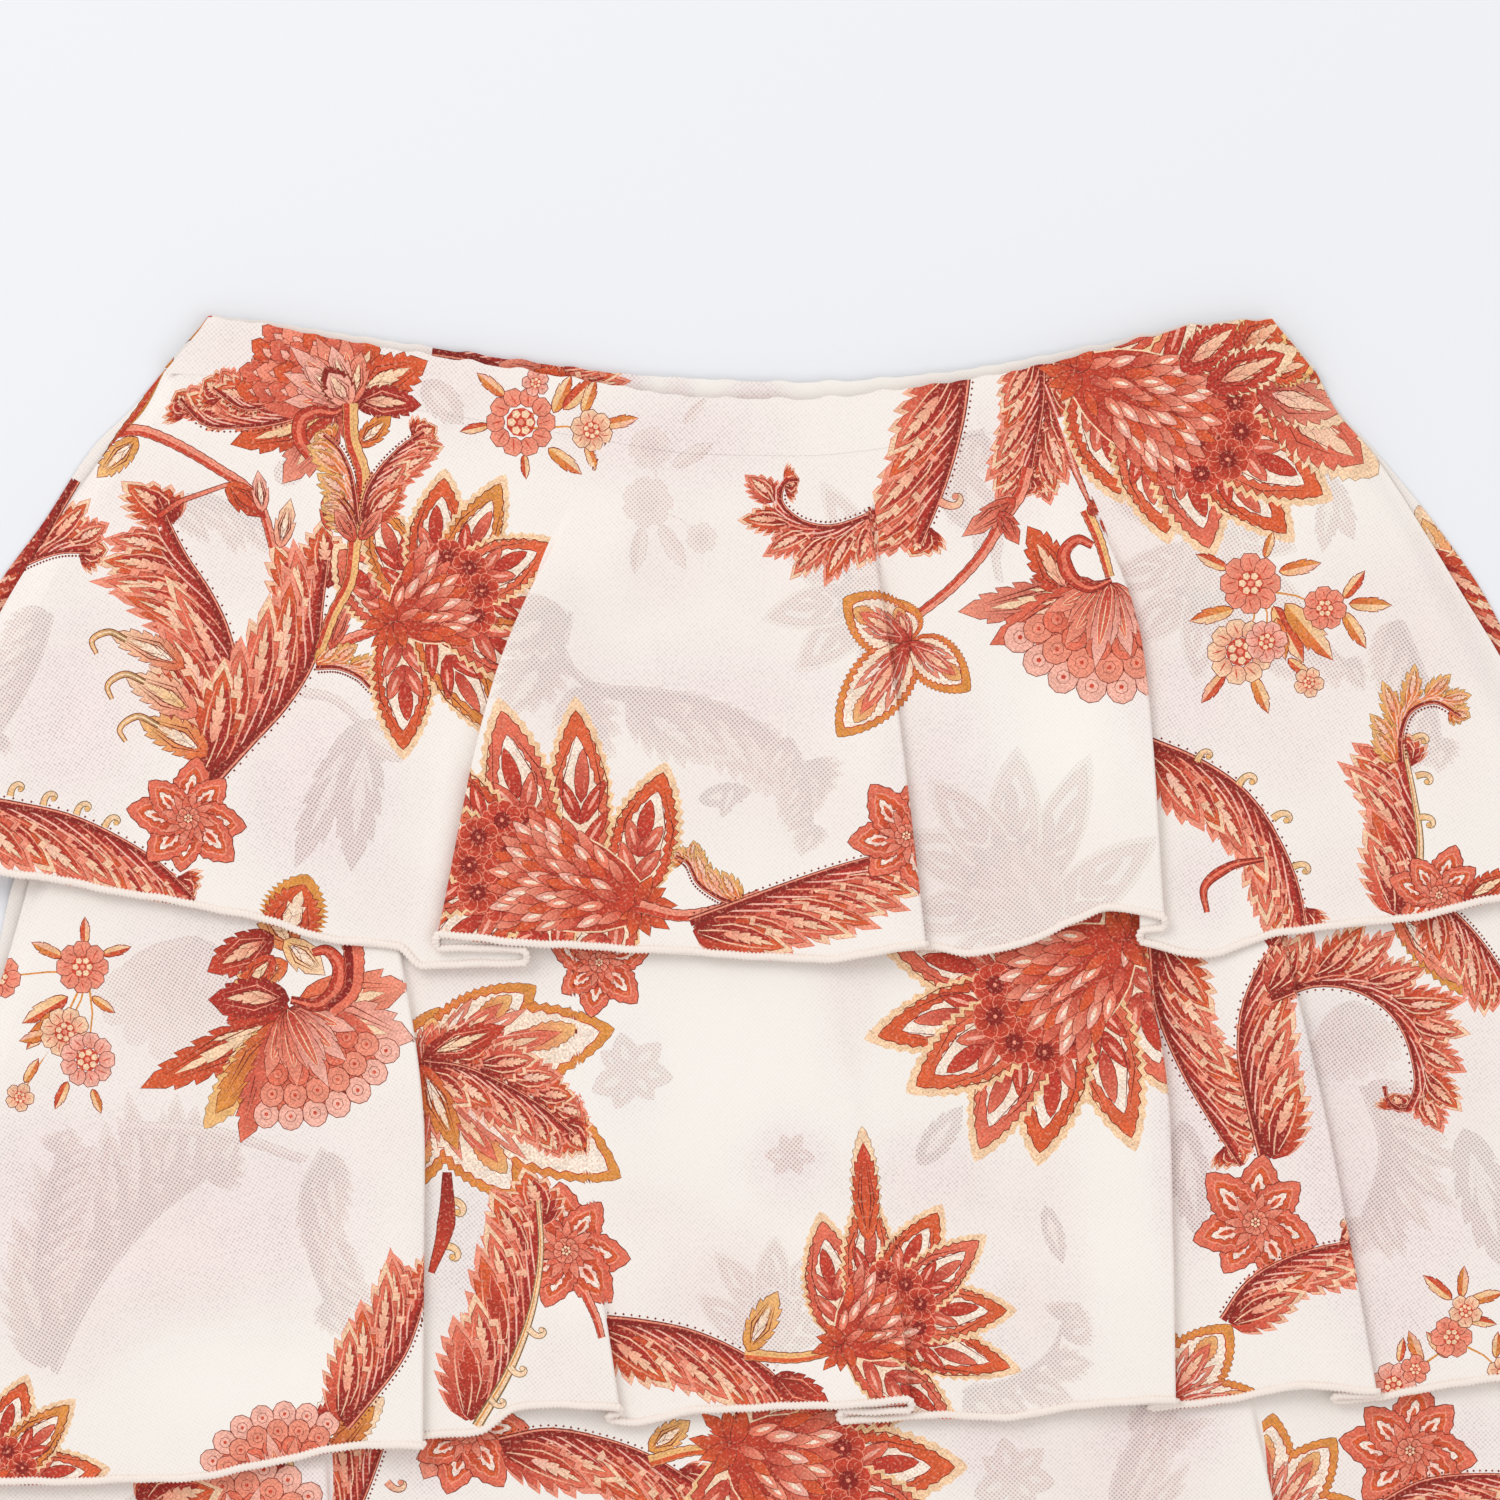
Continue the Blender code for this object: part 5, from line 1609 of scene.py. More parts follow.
    Hooks((3, 3), ((214, 136, 8, -20, 1), (214.5, 148, 9, -10, 1), (215.5, 161, 9, 0, 1))),
    Star((3, 3), 223, 185.5, 16, 8, -80),
    Leaf((3, 3), 231, 187, 247, 178, 8, Ink.CRIMSON, Ink.ORANGE),
)
BENEATH_1 = (
    Posy((1, 1), -29.5, 60, 8.2, 0, Ink.CORAL, ((0, 0, 1, 7), (0.1, -2.1, 0.85, 7),
         (2.1, 1.4, 0.62, 6)), ((-0.2, 1.0, 100, 2.0), (0.5, 0.9, 60, 2.2), (1.0, -1.4, -30, 2.0),
         (1.4, -3.0, -50, 1.6))),
    Feather((1, 1), ((-53, 95), (-57, 106.5), (-49.5, 117.5), (-32, 120), (-14, 122.5), (4.5, 130),
            (16.5, 140), (25.5, 154)), 18, 8, 1, 6, tip=0.7, flare=0.2),
    Bloom((1, 1), 41, 90.5, 57.5, 88, 36, 7, 120),
    Leaf((1, 1), -13, 155, 4, 152, 7, Ink.MAROON, Ink.CRIMSON),
    Leaf((1, 1), -1.5, 149.5, -6, 161, 5, Ink.MAROON, Ink.CRIMSON),
    Feather((1, 1), ((15.5, 134.5), (22, 149), (23, 166.5)), 9, 5, 1),
    Bloom((2, 2), 86, 179.5, 100, 198.5, 42, 7, 110),
    Feather((2, 2), ((78.5, 37), (66.5, 42), (62, 54), (68.5, 66), (80.5, 71.5)), 9, 6, -1),
    Stalk((2, 2), ((86.5, 49.5), (80.5, 65.5), (83, 86)), 2.6),
    Leaf((2, 2), 70.5, 49.5, 83, 78.5, 12, Ink.CRIMSON, Ink.SALMON),
    Stalk((0, 0), ((-141, 120.5), (-129.5, 123), (-120.5, 131)), 2.6),
    Leaf((0, 0), -121, 130, -142, 177, 12, Ink.MAROON, Ink.CRIMSON, None, Ink.PEACH),
    Leaf((0, 0), -119, 130, -124, 178, 14, Ink.MAROON, Ink.CRIMSON, None, Ink.PEACH),
    Leaf((0, 0), -120.5, 130, -108, 143, 9, Ink.BRICK, Ink.ORANGE),
    Feather((0, 0), ((-219.5, 95), (-224, 110.5), (-230.5, 124.5), (-238.5, 137.5)), 13, 6, 1, tip=0.5,
            flare=0.2),
    Feather((0, 0), ((-182, 59), (-169, 58), (-155.5, 67)), 12, 5, 1),
    Leaf((0, 0), -101, 21.5, -88.5, 35, 10, Ink.CRIMSON, Ink.SALMON, None, Ink.PINK),
    Leaf((0, 0), -148.5, 53, -139, 47, 9, Ink.CRIMSON, Ink.SALMON),
    Bloom((3, 3), 149, 85, 152.5, 61, 34, 7, 120),
    Feather((3, 3), ((167, 108), (182.5, 104), (196, 113)), 10, 6, 1),
    Feather((3, 3), ((210.5, 97), (216.5, 110.5), (221.5, 124.5), (224, 140)), 16, 6, 1, tip=0.5,
            flare=0.2),
    Leaf((3, 3), 185, 49.5, 196, 72, 9, Ink.CRIMSON, Ink.SALMON, None, Ink.PEACH, 5),
    Leaf((3, 3), 189, 54.5, 186, 76, 7, Ink.CRIMSON, Ink.SALMON, None, Ink.PEACH, 4),
)
PRINT_2 = (
    # first strip
    Posy((0, 0), -210, 208.5, 8, 0, Ink.CORAL, ((0, 0, 1, 8), (-0.7, 2.6, 0.95, 8), (0.2, 3.7, 1.05, 9),
         (-3.35, 0.4, 0.85, 7), (-2.5, 5.2, 0.55, 5)), ((0.8, -0.5, -15, 1.3), (-0.8, -0.4, 205, 1.5),
         (0.4, 1.2, 35, 1.2), (-0.6, 1.2, 150, 2.3), (-0.9, 1.7, 130, 2.3), (-1.2, 2.6, 165, 1.5),
         (-0.6, 4.6, 115, 1.3), (0.4, 4.9, 70, 1.1), (-2.3, 4.6, -60, 1.2), (0.1, -0.9, -90, 1.2))),
    Leaf((0, 0), -142, 202.5, -153, 189, 11, Ink.ORANGE, Ink.HONEY, None, Ink.PEACH, 5),
    Leaf((0, 0), -143.5, 223, -168.5, 220, 12, Ink.CRIMSON, Ink.BRICK, None, Ink.SALMON),
    Leaf((0, 0), -144.5, 207, -163, 216.5, 9, Ink.ORANGE, Ink.HONEY, None, Ink.PEACH, 5),
    Leaf((0, 0), -149, 198.5, -170, 210, 12, Ink.MAROON, Ink.BRICK, None, Ink.CORAL),
    Leaf((0, 0), -149, 205, -159.5, 217, 8, Ink.BRICK, Ink.ORANGE, None, Ink.PEACH, 4),
    Leaf((0, 0), -145.5, 200, -132.5, 211, 9, Ink.HONEY, Ink.PEACH, None, Ink.CREAM, 0),
    Leaf((0, 0), -145.5, 222.5, -191, 247, 13, Ink.CRIMSON, Ink.ORANGE, None, Ink.PEACH, 7, 0.12),
    Leaf((0, 0), -144, 219, -169.5, 219, 12, Ink.MAROON, Ink.CRIMSON, None, Ink.SALMON, 6, -0.12),
    Leaf((0, 0), -145.5, 225.5, -171, 260, 13, Ink.BRICK, Ink.OCHRE, Ink.HONEY, None, 6),
    Leaf((0, 0), -144.5, 229, -159.5, 264.5, 12, Ink.CRIMSON, Ink.CORAL, None, None, 6),
    Leaf((0, 0), -141, 219, -106, 214.5, 17, Ink.ORANGE, Ink.SALMON, None, Ink.PEACH, 4, -0.2),
    Leaf((0, 0), -141, 221, -104, 231.5, 17, Ink.CORAL, Ink.PINK, None, Ink.PEACH, 5, -0.1),
    Carnation((0, 0), -144.5, 222, 38, 62, 50),
    Scroll((0, 0), ((-143.5, 219), (-134.5, 220.5), (-128.5, 215.5), (-128, 207.5), (-132.5, 203),
           (-136.5, 204)), (2.0, 6.0, 2.0), Ink.MAROON, Ink.BRICK, Ink.CORAL),
    Stalk((0, 0), ((-124, 198.5), (-123, 208), (-124, 216), (-131, 222.5)), 6.0, Ink.MAROON, Ink.CORAL),
    Bloom((0, 0), -238.5, 372, -251, 383, 38, 7, 100, True),
    Leaf((0, 0), -134.5, 366, -113.5, 345.5, 11, Ink.CRIMSON, Ink.OCHRE, Ink.PEACH, None, 6),
    Leaf((0, 0), -139, 366, -127, 341.5, 9, Ink.MAROON, Ink.CRIMSON, Ink.CREAM, None, 5),
    Carnation((0, 0), -144, 378, 30, -108, 58),
    Feather((0, 0), ((-125.5, 355), (-118, 346), (-107.5, 332), (-100, 312)), 21, 6, -1, tip=0.7,
            flare=0.2),
    # second strip
    GoldFlower((1, 2), -102, 240.5, ((-75, 20, 16), (-38, 45, 22), (91, 40, 27), (51, 53, 26),
               (-14, 63, 28), (26, 73, 30))),
    Feather((1, 2), ((-101, 239), (-89.5, 240.5), (-77, 245.5), (-64, 253), (-53, 262.5)), 12, 6, 1,
            tip=0.8, back=10, flare=0.1),
    Leaf((1, 1), -101, 237, -75, 227.5, 9, Ink.MAROON, Ink.BRICK, None, Ink.PEACH, 5),
    Leaf((1, 1), -102, 239.5, -90, 267, 9, Ink.BRICK, Ink.OCHRE, None, Ink.CREAM, 4),
    Hooks((1, 1), ((-95.5, 283, 12, 10, 1), (-96.5, 297.5, 11, 10, 1)), Ink.HONEY),
    Scroll((1, 1), ((-93.5, 274), (-94, 291.5), (-98.5, 306)), (2.4, 5.4, 1.6), Ink.MAROON, Ink.BRICK),
    Star((1, 2), -55.5, 299, 21, 7, -104),
    Feather((1, 1), ((-84, 355), (-73, 336), (-66, 316.5), (-63.5, 298), (-64.5, 283)), 22, 7, -1, 0,
            True, 0.7, flare=0.22),
    Hooks((1, 1), ((-68, 323, 9, 40, -1), (-74, 335, 9, 45, -1), (-80, 345.5, 8, 45, -1)), Ink.PEACH),
    Stalk((1, 2), ((-49.5, 312), (-45.5, 321), (-44, 326.5)), 2.4),
    Star((1, 3), -45, 207, 17, 7, 90),
    # third strip
    Feather((2, 2), ((-47.5, 320.5), (-31.5, 322), (-16, 325), (-1.5, 331), (9.5, 338), (18, 348)), 21,
            8, 1, tip=0.5, flare=0.14),
    Leaf((2, 2), 11, 339, 28.5, 348, 9, Ink.MAROON, Ink.BRICK, None, None),
    Stalk((2, 3), ((1.5, 332), (19, 333), (33.5, 329.5)), 3.2, Ink.ORANGE, Ink.HONEY),
    Leaf((2, 2), 2.5, 331, 12, 312, 9, Ink.OCHRE, Ink.HONEY, None, Ink.CREAM),
    Bloom((2, 3), 46.5, 319, 31.5, 329.5, 42, 7, 92),
    Leaf((2, 3), 41, 296, 39, 259.5, 9, Ink.ORANGE, Ink.BRICK, Ink.PEACH, None, 6),
    # fourth strip
    Bloom((2, 3), 96, 220, 125, 198.5, 56, 9, 112),
    # fifth strip
    Feather((4, 4), ((131.5, 201.5), (133.5, 221), (141, 240.5), (150, 256.5), (160, 272)), 18, 8, -1,
            tip=0.3, flare=0.16),
    Feather((4, 4), ((167, 270.5), (162, 250), (159.5, 233.5), (161.5, 219), (167, 207), (175.5, 197)),
            18, 8, 1, tip=0.4, flare=0.18),
    Feather((4, 5), ((169.5, 219), (184.5, 214), (199, 216.5), (210, 225.5), (215, 238), (215.5, 248),
            (212, 254), (207, 251), (206, 246.5)), 14, 10, -1, tip=0.2, flare=0.3),
    Star((4, 4), 164.5, 290, 21, 7, -92),
    Feather((4, 4), ((154, 321), (162, 309.5), (174, 302), (186, 298), (197, 296)), 17, 6, 1, tip=0.6,
            flare=0.16),
    Hooks((4, 4), ((192, 296, 10, -60, -1),), Ink.SALMON),
    GoldFlower((4, 4), 135.5, 348, ((-97, 27, 18), (-53, 33, 21), (-6, 33, 14)), 2.0),
    # last strip
    Leaf((5, 5), 208, 189, 235, 218.5, 12, Ink.ORANGE, Ink.SALMON, Ink.OCHRE, Ink.CREAM, 7),
    Feather((5, 5), ((221.5, 185.5), (233.5, 197), (246.5, 214.5)), 14, 5, 1, tip=0.5, flare=0.2),
    Posy((5, 5), 227, 326.5, 6.4, 0, Ink.CORAL, ((0, 0, 1, 6), (0.7, -1.3, 0.8, 5), (-2.9, 2.4, 1.1, 7),
         (-1.8, 1.6, 0.7, 5), (2.6, 1.8, 0.8, 6)), ((0.0, -1.9, -140, 2.0), (0.5, -2.0, -85, 1.7),
         (0.9, -1.8, -15, 1.9), (0.8, -0.9, 10, 1.6), (-0.2, 1.0, -130, 1.8), (-1.5, 1.4, -110, 2.0),
         (-2.6, 1.2, -80, 1.3), (1.0, 2.2, 150, 2.0), (2.2, 1.0, -85, 1.4))),
)
BENEATH_2 = (
    Carnation((0, 0), -171, 200, 40, 112, 55),
    Feather((0, 0), ((-219.5, 338), (-208.5, 315), (-189, 290), (-163, 270)), 28, 8, -1, tip=0.5,
            flare=0.3),
    Feather((0, 0), ((-225.5, 312), (-222.5, 285), (-216.5, 263.5)), 13, 6, 1, tip=0.5, flare=0.3),
    Stalk((0, 0), ((-198.5, 259.5), (-166.5, 261.5), (-138, 270.5)), 3.4),
    Feather((0, 0), ((-132.5, 266.5), (-139.5, 280), (-138, 297.5), (-130, 320.5)), 18, 8, -1, tip=0.6,
            flare=0.2),
    Star((1, 2), -35, 242, 13, 7),
    Star((2, 3), 16, 268.5, 8, 6),
    Bloom((2, 3), 10, 319, 10, 332, 27, 5, 80),
    Feather((3, 3), ((70.5, 343.5), (86.5, 340), (99, 331), (105, 317)), 10, 5, 1, tip=0.5, flare=0.3),
    Leaf((3, 3), 57, 271.5, 71, 253, 9, Ink.MAROON, Ink.CRIMSON),
    Leaf((3, 3), 97.5, 285, 103, 303, 6, Ink.MAROON, Ink.CRIMSON),
    Leaf((4, 4), 141, 257.5, 147, 296, 12, Ink.MAROON, Ink.CRIMSON),
    Carnation((5, 5), 193.5, 220, 24, 78, 60),
    Feather((5, 5), ((199, 246), (205, 266), (197, 293.5)), 18, 7, -1, tip=0.5, flare=0.3),
    Leaf((5, 5), 231, 260, 245, 306, 16, Ink.MAROON, Ink.CRIMSON, None, Ink.PEACH),
)
PRINT_3 = (
    Leaf((0, 0), -144, 364, -171.5, 369.5, 12, Ink.MAROON, Ink.BRICK, None, Ink.SALMON),
    Hooks((0, 0), ((-144.5, 365, 10, 80, 1),), Ink.HONEY),
    Carnation((0, 0), -160, 398.5, 34, -75, 60),
    Feather((0, 0), ((-227, 424), (-217.5, 405), (-201.5, 392), (-185.5, 379)), 26, 4, 1),
    Posy((0, 0), -230.5, 462.5, 8),
    Star((0, 0), -173, 462.5, 22, 7),
    Feather((1, 1), ((-131, 398.5), (-121, 379), (-112.5, 357)), 20, 6, -1, tip=0.6, flare=0.2),
    Hooks((1, 1), ((-113.5, 372, 10, 40, -1),), Ink.SALMON),
    Leaf((1, 1), -91, 353.5, -101, 372, 12, Ink.BRICK, Ink.SALMON),
    Star((1, 1), -87, 357, 20, 7, 100),
    Feather((1, 1), ((-77, 360), (-61.5, 357), (-45, 359.5), (-29, 365), (-14, 374)), 22, 7, 1, tip=0.6,
            flare=0.18),
    Leaf((1, 1), -29, 363, -16, 353.5, 8, Ink.OCHRE, Ink.HONEY, None, Ink.CREAM),
    Stalk((1, 2), ((-29, 366.5), (-16, 363), (-3, 362.5)), 3.4, Ink.ORANGE, Ink.HONEY),
    Bloom((1, 2), 19, 371, -4, 360, 58, 7, 95),
    Carnation((1, 1), -57.5, 424, 36, 95, 60),
    Star((1, 1), -99, 449.5, 22, 7),
    Posy((2, 2), 19, 443, 9),
    Feather((2, 2), ((83, 491), (86.5, 469), (102.5, 449.5), (125, 440)), 28, 5, 1),
    Star((2, 2), 115, 398.5, 20, 7),
    Bloom((2, 2), 61, 472, 38.5, 485, 44, 7, 100, True),
    GoldFlower((3, 3), 167, 389, ((-88, 38, 20), (-20, 32, 16), (-55, 38, 20)), 2.0),
    Star((3, 3), 214, 363, 22, 8, -90),
    Feather((3, 3), ((201.5, 382.5), (217.5, 373.5), (237, 371), (256, 372)), 18, 6, 1, tip=0.5, flare=0.2),
    Carnation((3, 3), 243, 424, 34, 80, 60),
    Feather((3, 3), ((189, 494.5), (195, 472), (211, 456), (233.5, 449.5)), 28, 4, 1),
    Posy((3, 3), 262.5, 465.5, 8.5),
)
BENEATH_3 = (
    Feather((2, 2), ((124, 398.5), (119, 376.5), (128.5, 354)), 24, 7, 1, tip=0.6, flare=0.3),
    Star((2, 2), 87, 371.5, 13, 7),
    Feather((0, 0), ((-207.5, 398.5), (-199.5, 383), (-185.5, 372)), 20, 6, 1),
)
# Second flower, leaf and spray of the repeat, on the back of each tier
PRINT_BACK = (
    Feather((0, 0), ((-98.5, 12), (-86.5, 14), (-70.5, 19.5), (-48, 28.5)), 20, 9, -1, tip=0.7, flare=0.1),
    Leaf((0, 0), -62.5, 24.5, -77, 15.5, 14, Ink.CRIMSON, Ink.SALMON, None, Ink.PINK, 5),
    Leaf((0, 0), -54.5, 28, -65.5, 17.5, 12, Ink.BRICK, Ink.ORANGE, None, Ink.HONEY, 5),
    Stalk((0, 0), ((-168.5, 1), (-176, 5.5), (-182, 10.5), (-184.5, 18), (-189, 27), (-198.5, 40),
          (-206.5, 53)), 4.0, Ink.BRICK, Ink.OCHRE),
    Feather((0, 0), ((-212, 53), (-217.5, 62.5), (-224, 75), (-233.5, 91)), 14, 6, 1),
    Leaf((0, 0), 228, 91, 217, 61, 13, Ink.CORAL, Ink.HONEY, Ink.PEACH, Ink.PEACH, 6),
    Feather((0, 0), ((214.5, 77), (222.5, 91), (231, 107), (240, 124.5)), 22, 8, -1, tip=0.8, flare=0.1,
            fringe=Ink.PEACH),
    Bloom((0, 0), -99, 78.5, -77, 59, 52, 9, 112),
    Bloom((0, 0), 86.5, 123, 109, 142.5, 50, 9, 112, True),
    Feather((0, 0), ((-32, 181), (-13, 161.5), (13, 152), (38.5, 155)), 26, 6, 1, 3),
    Posy((0, 0), 6.5, 78.5, 9.5),
    Star((0, 0), -45, 123, 20, 8),
    Posy((0, 0), -179, 123, 9, 30),
    Star((0, 0), 179, 155, 20, 8),
    Bloom((0, 0), -141, 261, -160, 283, 54, 9, 112),
    Feather((0, 0), ((-57.5, 325), (-48, 296), (-25.5, 277), (6.5, 270.5)), 28, 6, 1, 3),
    Posy((0, 0), 51, 238.5, 9.5),
    Bloom((0, 0), 89.5, 312, 115, 328, 50, 9, 112, True),
    Star((0, 0), 19, 325, 20, 8),
    Feather((0, 0), ((163, 296), (176, 270.5), (198.5, 254.5), (224, 248)), 26, 6, 1, 3),
    Posy((0, 0), -208, 315, 9, 20),
    Bloom((0, 0), -160, 424, -179, 443, 52, 9, 112, True),
    Feather((0, 0), ((-83, 481.5), (-70.5, 453), (-45, 437), (-13, 433.5)), 28, 6, 1, 3),
    Star((0, 0), -38.5, 392, 20, 8),
    Bloom((0, 0), 70.5, 424, 96, 443, 52, 9, 112),
    Posy((0, 0), 163, 398.5, 9.5),
    Feather((0, 0), ((176, 491), (189, 465.5), (211, 453), (243, 449.5)), 28, 6, 1, 3),
)

#      x, drop, half width, half depth, tone, strength
CLOUDS_1 = (
    Cloud(-189, 65.5, 40, 26, Tone.BLUSH, 0.45),
    Cloud(-214.5, 129.5, 26, 34, Tone.MAUVE, 0.75),
    Cloud(-195, 117, 22, 22, Tone.BLUSH, 0.6),
    Cloud(-157, 81.5, 20, 14, Tone.BLUSH, 0.6),
    Cloud(-134.5, 152, 26, 32, Tone.MAUVE, 0.8),
    Cloud(-144, 133, 22, 18, Tone.BLUSH, 0.6),
    Cloud(-112, 187, 16, 12, Tone.BLUSH, 0.5),
    Cloud(-141, 11, 40, 12, Tone.MAUVE, 0.4),
    Cloud(-161.5, 11, 26, 12, Tone.BLUSH, 0.6),
    Cloud(-96, 21, 18, 12, Tone.BLUSH, 0.9),
    Cloud(-86.5, 27, 14, 16, Tone.BLUSH, 0.5),
    Cloud(-102.5, 91, 12, 26, Tone.BLUSH, 0.5),
    Cloud(-48, 40, 18, 10, Tone.BLUSH, 0.6),
    Cloud(-19, 40, 32, 16, Tone.MAUVE, 0.7),
    Cloud(-25.5, 78.5, 14, 18, Tone.BLUSH, 0.6),
    Cloud(-57.5, 123, 16, 40, Tone.BLUSH, 0.5),
    Cloud(-9.5, 123, 50, 16, Tone.MAUVE, 0.6),
    Cloud(6.5, 142.5, 22, 16, Tone.BLUSH, 0.6),
    Cloud(16, 78.5, 30, 30, Tone.BLUSH, 0.35),
    Cloud(-32, 158.5, 30, 14, Tone.BLUSH, 0.5),
    Cloud(25.5, 158.5, 20, 16, Tone.BLUSH, 0.4),
    Cloud(80, 49.5, 20, 22, Tone.BLUSH, 0.8),
    Cloud(70.5, 145.5, 22, 26, Tone.MAUVE, 0.7),
    Cloud(86.5, 174.5, 26, 22, Tone.BLUSH, 0.6),
    Cloud(70.5, 187, 16, 14, Tone.MAUVE, 0.5),
    Cloud(99, 136, 26, 26, Tone.WHITE, 0.7),
    Cloud(121.5, 49.5, 14, 22, Tone.MAUVE, 0.6),
    Cloud(131, 78.5, 14, 30, Tone.BLUSH, 0.7),
    Cloud(144, 123, 20, 24, Tone.MAUVE, 0.6),
    Cloud(176, 136, 22, 20, Tone.BLUSH, 0.7),
    Cloud(198.5, 104, 30, 26, Tone.BLUSH, 0.6),
    Cloud(224, 104, 16, 40, Tone.BLUSH, 0.6),
    Cloud(192, 181, 18, 18, Tone.BLUSH, 0.5),
    Cloud(147, 181, 12, 16, Tone.MAUVE, 0.6),
)
CLOUDS_2 = (
    Cloud(-173, 206.5, 26, 18, Tone.MAUVE, 0.55),
    Cloud(-189, 229, 20, 20, Tone.BLUSH, 0.6),
    Cloud(-198.5, 283, 44, 34, Tone.MAUVE, 0.85),
    Cloud(-179, 299, 26, 26, Tone.BLUSH, 0.9),
    Cloud(-224, 293, 20, 40, Tone.MAUVE, 0.5),
    Cloud(-141, 286.5, 26, 32, Tone.MAUVE, 0.6),
    Cloud(-211, 325, 20, 18, Tone.BLUSH, 0.7),
    Cloud(-160, 341, 40, 20, Tone.WHITE, 0.7),
    Cloud(-109, 261, 14, 16, Tone.BLUSH, 0.4),
    Cloud(-83, 213, 26, 8, Tone.BLUSH, 0.7),
    Cloud(-35, 241.5, 12, 18, Tone.MAUVE, 0.7),
    Cloud(-86.5, 299, 16, 26, Tone.SMOKE, 0.6),
    Cloud(-57.5, 337.5, 16, 14, Tone.BLUSH, 0.5),
    Cloud(-3, 238.5, 60, 40, Tone.WHITE, 0.7),
    Cloud(16, 270.5, 14, 14, Tone.MAUVE, 0.6),
    Cloud(-6.5, 312, 24, 20, Tone.BLUSH, 0.9),
    Cloud(-32, 286.5, 20, 10, Tone.BLUSH, 0.4),
    Cloud(35, 219, 10, 30, Tone.BLUSH, 0.5),
    Cloud(64, 283, 30, 14, Tone.BLUSH, 0.7),
    Cloud(61, 270.5, 22, 12, Tone.MAUVE, 0.5),
    Cloud(83, 321.5, 26, 22, Tone.MAUVE, 0.5),
    Cloud(99, 299, 14, 40, Tone.BLUSH, 0.6),
    Cloud(121.5, 283, 18, 50, Tone.WHITE, 0.4),
    Cloud(144, 261, 12, 44, Tone.MAUVE, 0.8),
    Cloud(179, 277, 18, 30, Tone.BLUSH, 0.5),
    Cloud(189, 238.5, 18, 22, Tone.SMOKE, 0.7),
    Cloud(195, 277, 20, 40, Tone.MAUVE, 0.8),
    Cloud(205, 254.5, 24, 16, Tone.BLUSH, 0.8),
    Cloud(224, 293, 24, 22, Tone.MAUVE, 0.6),
    Cloud(233.5, 238.5, 14, 30, Tone.BLUSH, 0.6),
    Cloud(211, 321.5, 14, 16, Tone.MAUVE, 0.7),
)
CLOUDS_3 = (
    Cloud(-224, 376, 30, 8, Tone.BLUSH, 0.4),
    Cloud(-137.5, 373, 10, 12, Tone.MAUVE, 0.7),
    Cloud(-99, 369.5, 14, 10, Tone.MAUVE, 0.6),
    Cloud(80, 363, 20, 12, Tone.MAUVE, 0.7),
    Cloud(121.5, 369.5, 26, 20, Tone.BLUSH, 0.9),
    Cloud(137.5, 357, 20, 10, Tone.MAUVE, 0.8),
    Cloud(192, 373, 12, 16, Tone.BLUSH, 0.6),
    Cloud(233.5, 360, 16, 12, Tone.MAUVE, 0.6),
    Cloud(-173, 427, 60, 40, Tone.BLUSH, 0.6),
    Cloud(-13, 443, 60, 40, Tone.MAUVE, 0.5),
    Cloud(147, 459, 60, 40, Tone.BLUSH, 0.6),
)
CLOUDS_WAIST = (
    Cloud(0, 14.5, 400, 60, Tone.WHITE, 0.9),
    Cloud(-37, 23.5, 8, 8, Tone.MAUVE, 0.9),
    Cloud(-19.5, 26.5, 4.5, 8, Tone.MAUVE, 0.8),
    Cloud(5, 28, 10, 8, Tone.MAUVE, 0.85),
    Cloud(-93, 12, 10, 8, Tone.BLUSH, 0.9),
)
CLOUDS_BACK = (
    Cloud(-217.5, 91, 40, 40, Tone.BLUSH, 0.7),
    Cloud(227, 123, 40, 60, Tone.BLUSH, 0.7),
)

#       x, drop to x, drop, width, height
CREASES_1 = (
    Crease(-88.5, 72, -88.5, 124, 3.0, 0.5),
    Crease(-88.5, 120, -101.5, 209, 4.0, 0.9),
    Crease(-83, 14.5, -110.5, 57.5, 4.0, 0.8),
    Crease(-109, 59, -131, 187, 9.0, 0.7),
    Crease(-128, 78.5, -157, 187, 10.0, -0.7),
    Crease(-179, 33.5, -201.5, 104, 8.0, 0.7),
    Crease(-198.5, 78.5, -227, 174.5, 12.0, -0.8),
    Crease(-157, 33.5, -173, 123, 9.0, -0.5),
    Crease(-32, 27, -38.5, 104, 6.0, 0.5),
    Crease(-13, 30.5, -3, 123, 9.0, -0.5),
    Crease(19, 27, 25.5, 142.5, 8.0, 0.6),
    Crease(35, 59, 45, 197, 9.0, 0.8),
    Crease(-51, 97.5, -57.5, 200, 10.0, -0.6),
    Crease(64, 21, 83, 110.5, 7.0, 0.6),
    Crease(83, 27, 109, 197, 10.0, -0.6),
    Crease(102.5, 78.5, 125, 190.5, 8.0, 0.7),
    Crease(125, 24, 147, 104, 6.0, 0.7),
    Crease(147, 78.5, 160, 187, 9.0, -0.7),
    Crease(176, 33.5, 198.5, 155, 10.0, 0.7),
    Crease(195, 27, 230.5, 142.5, 8.0, -0.7),
)
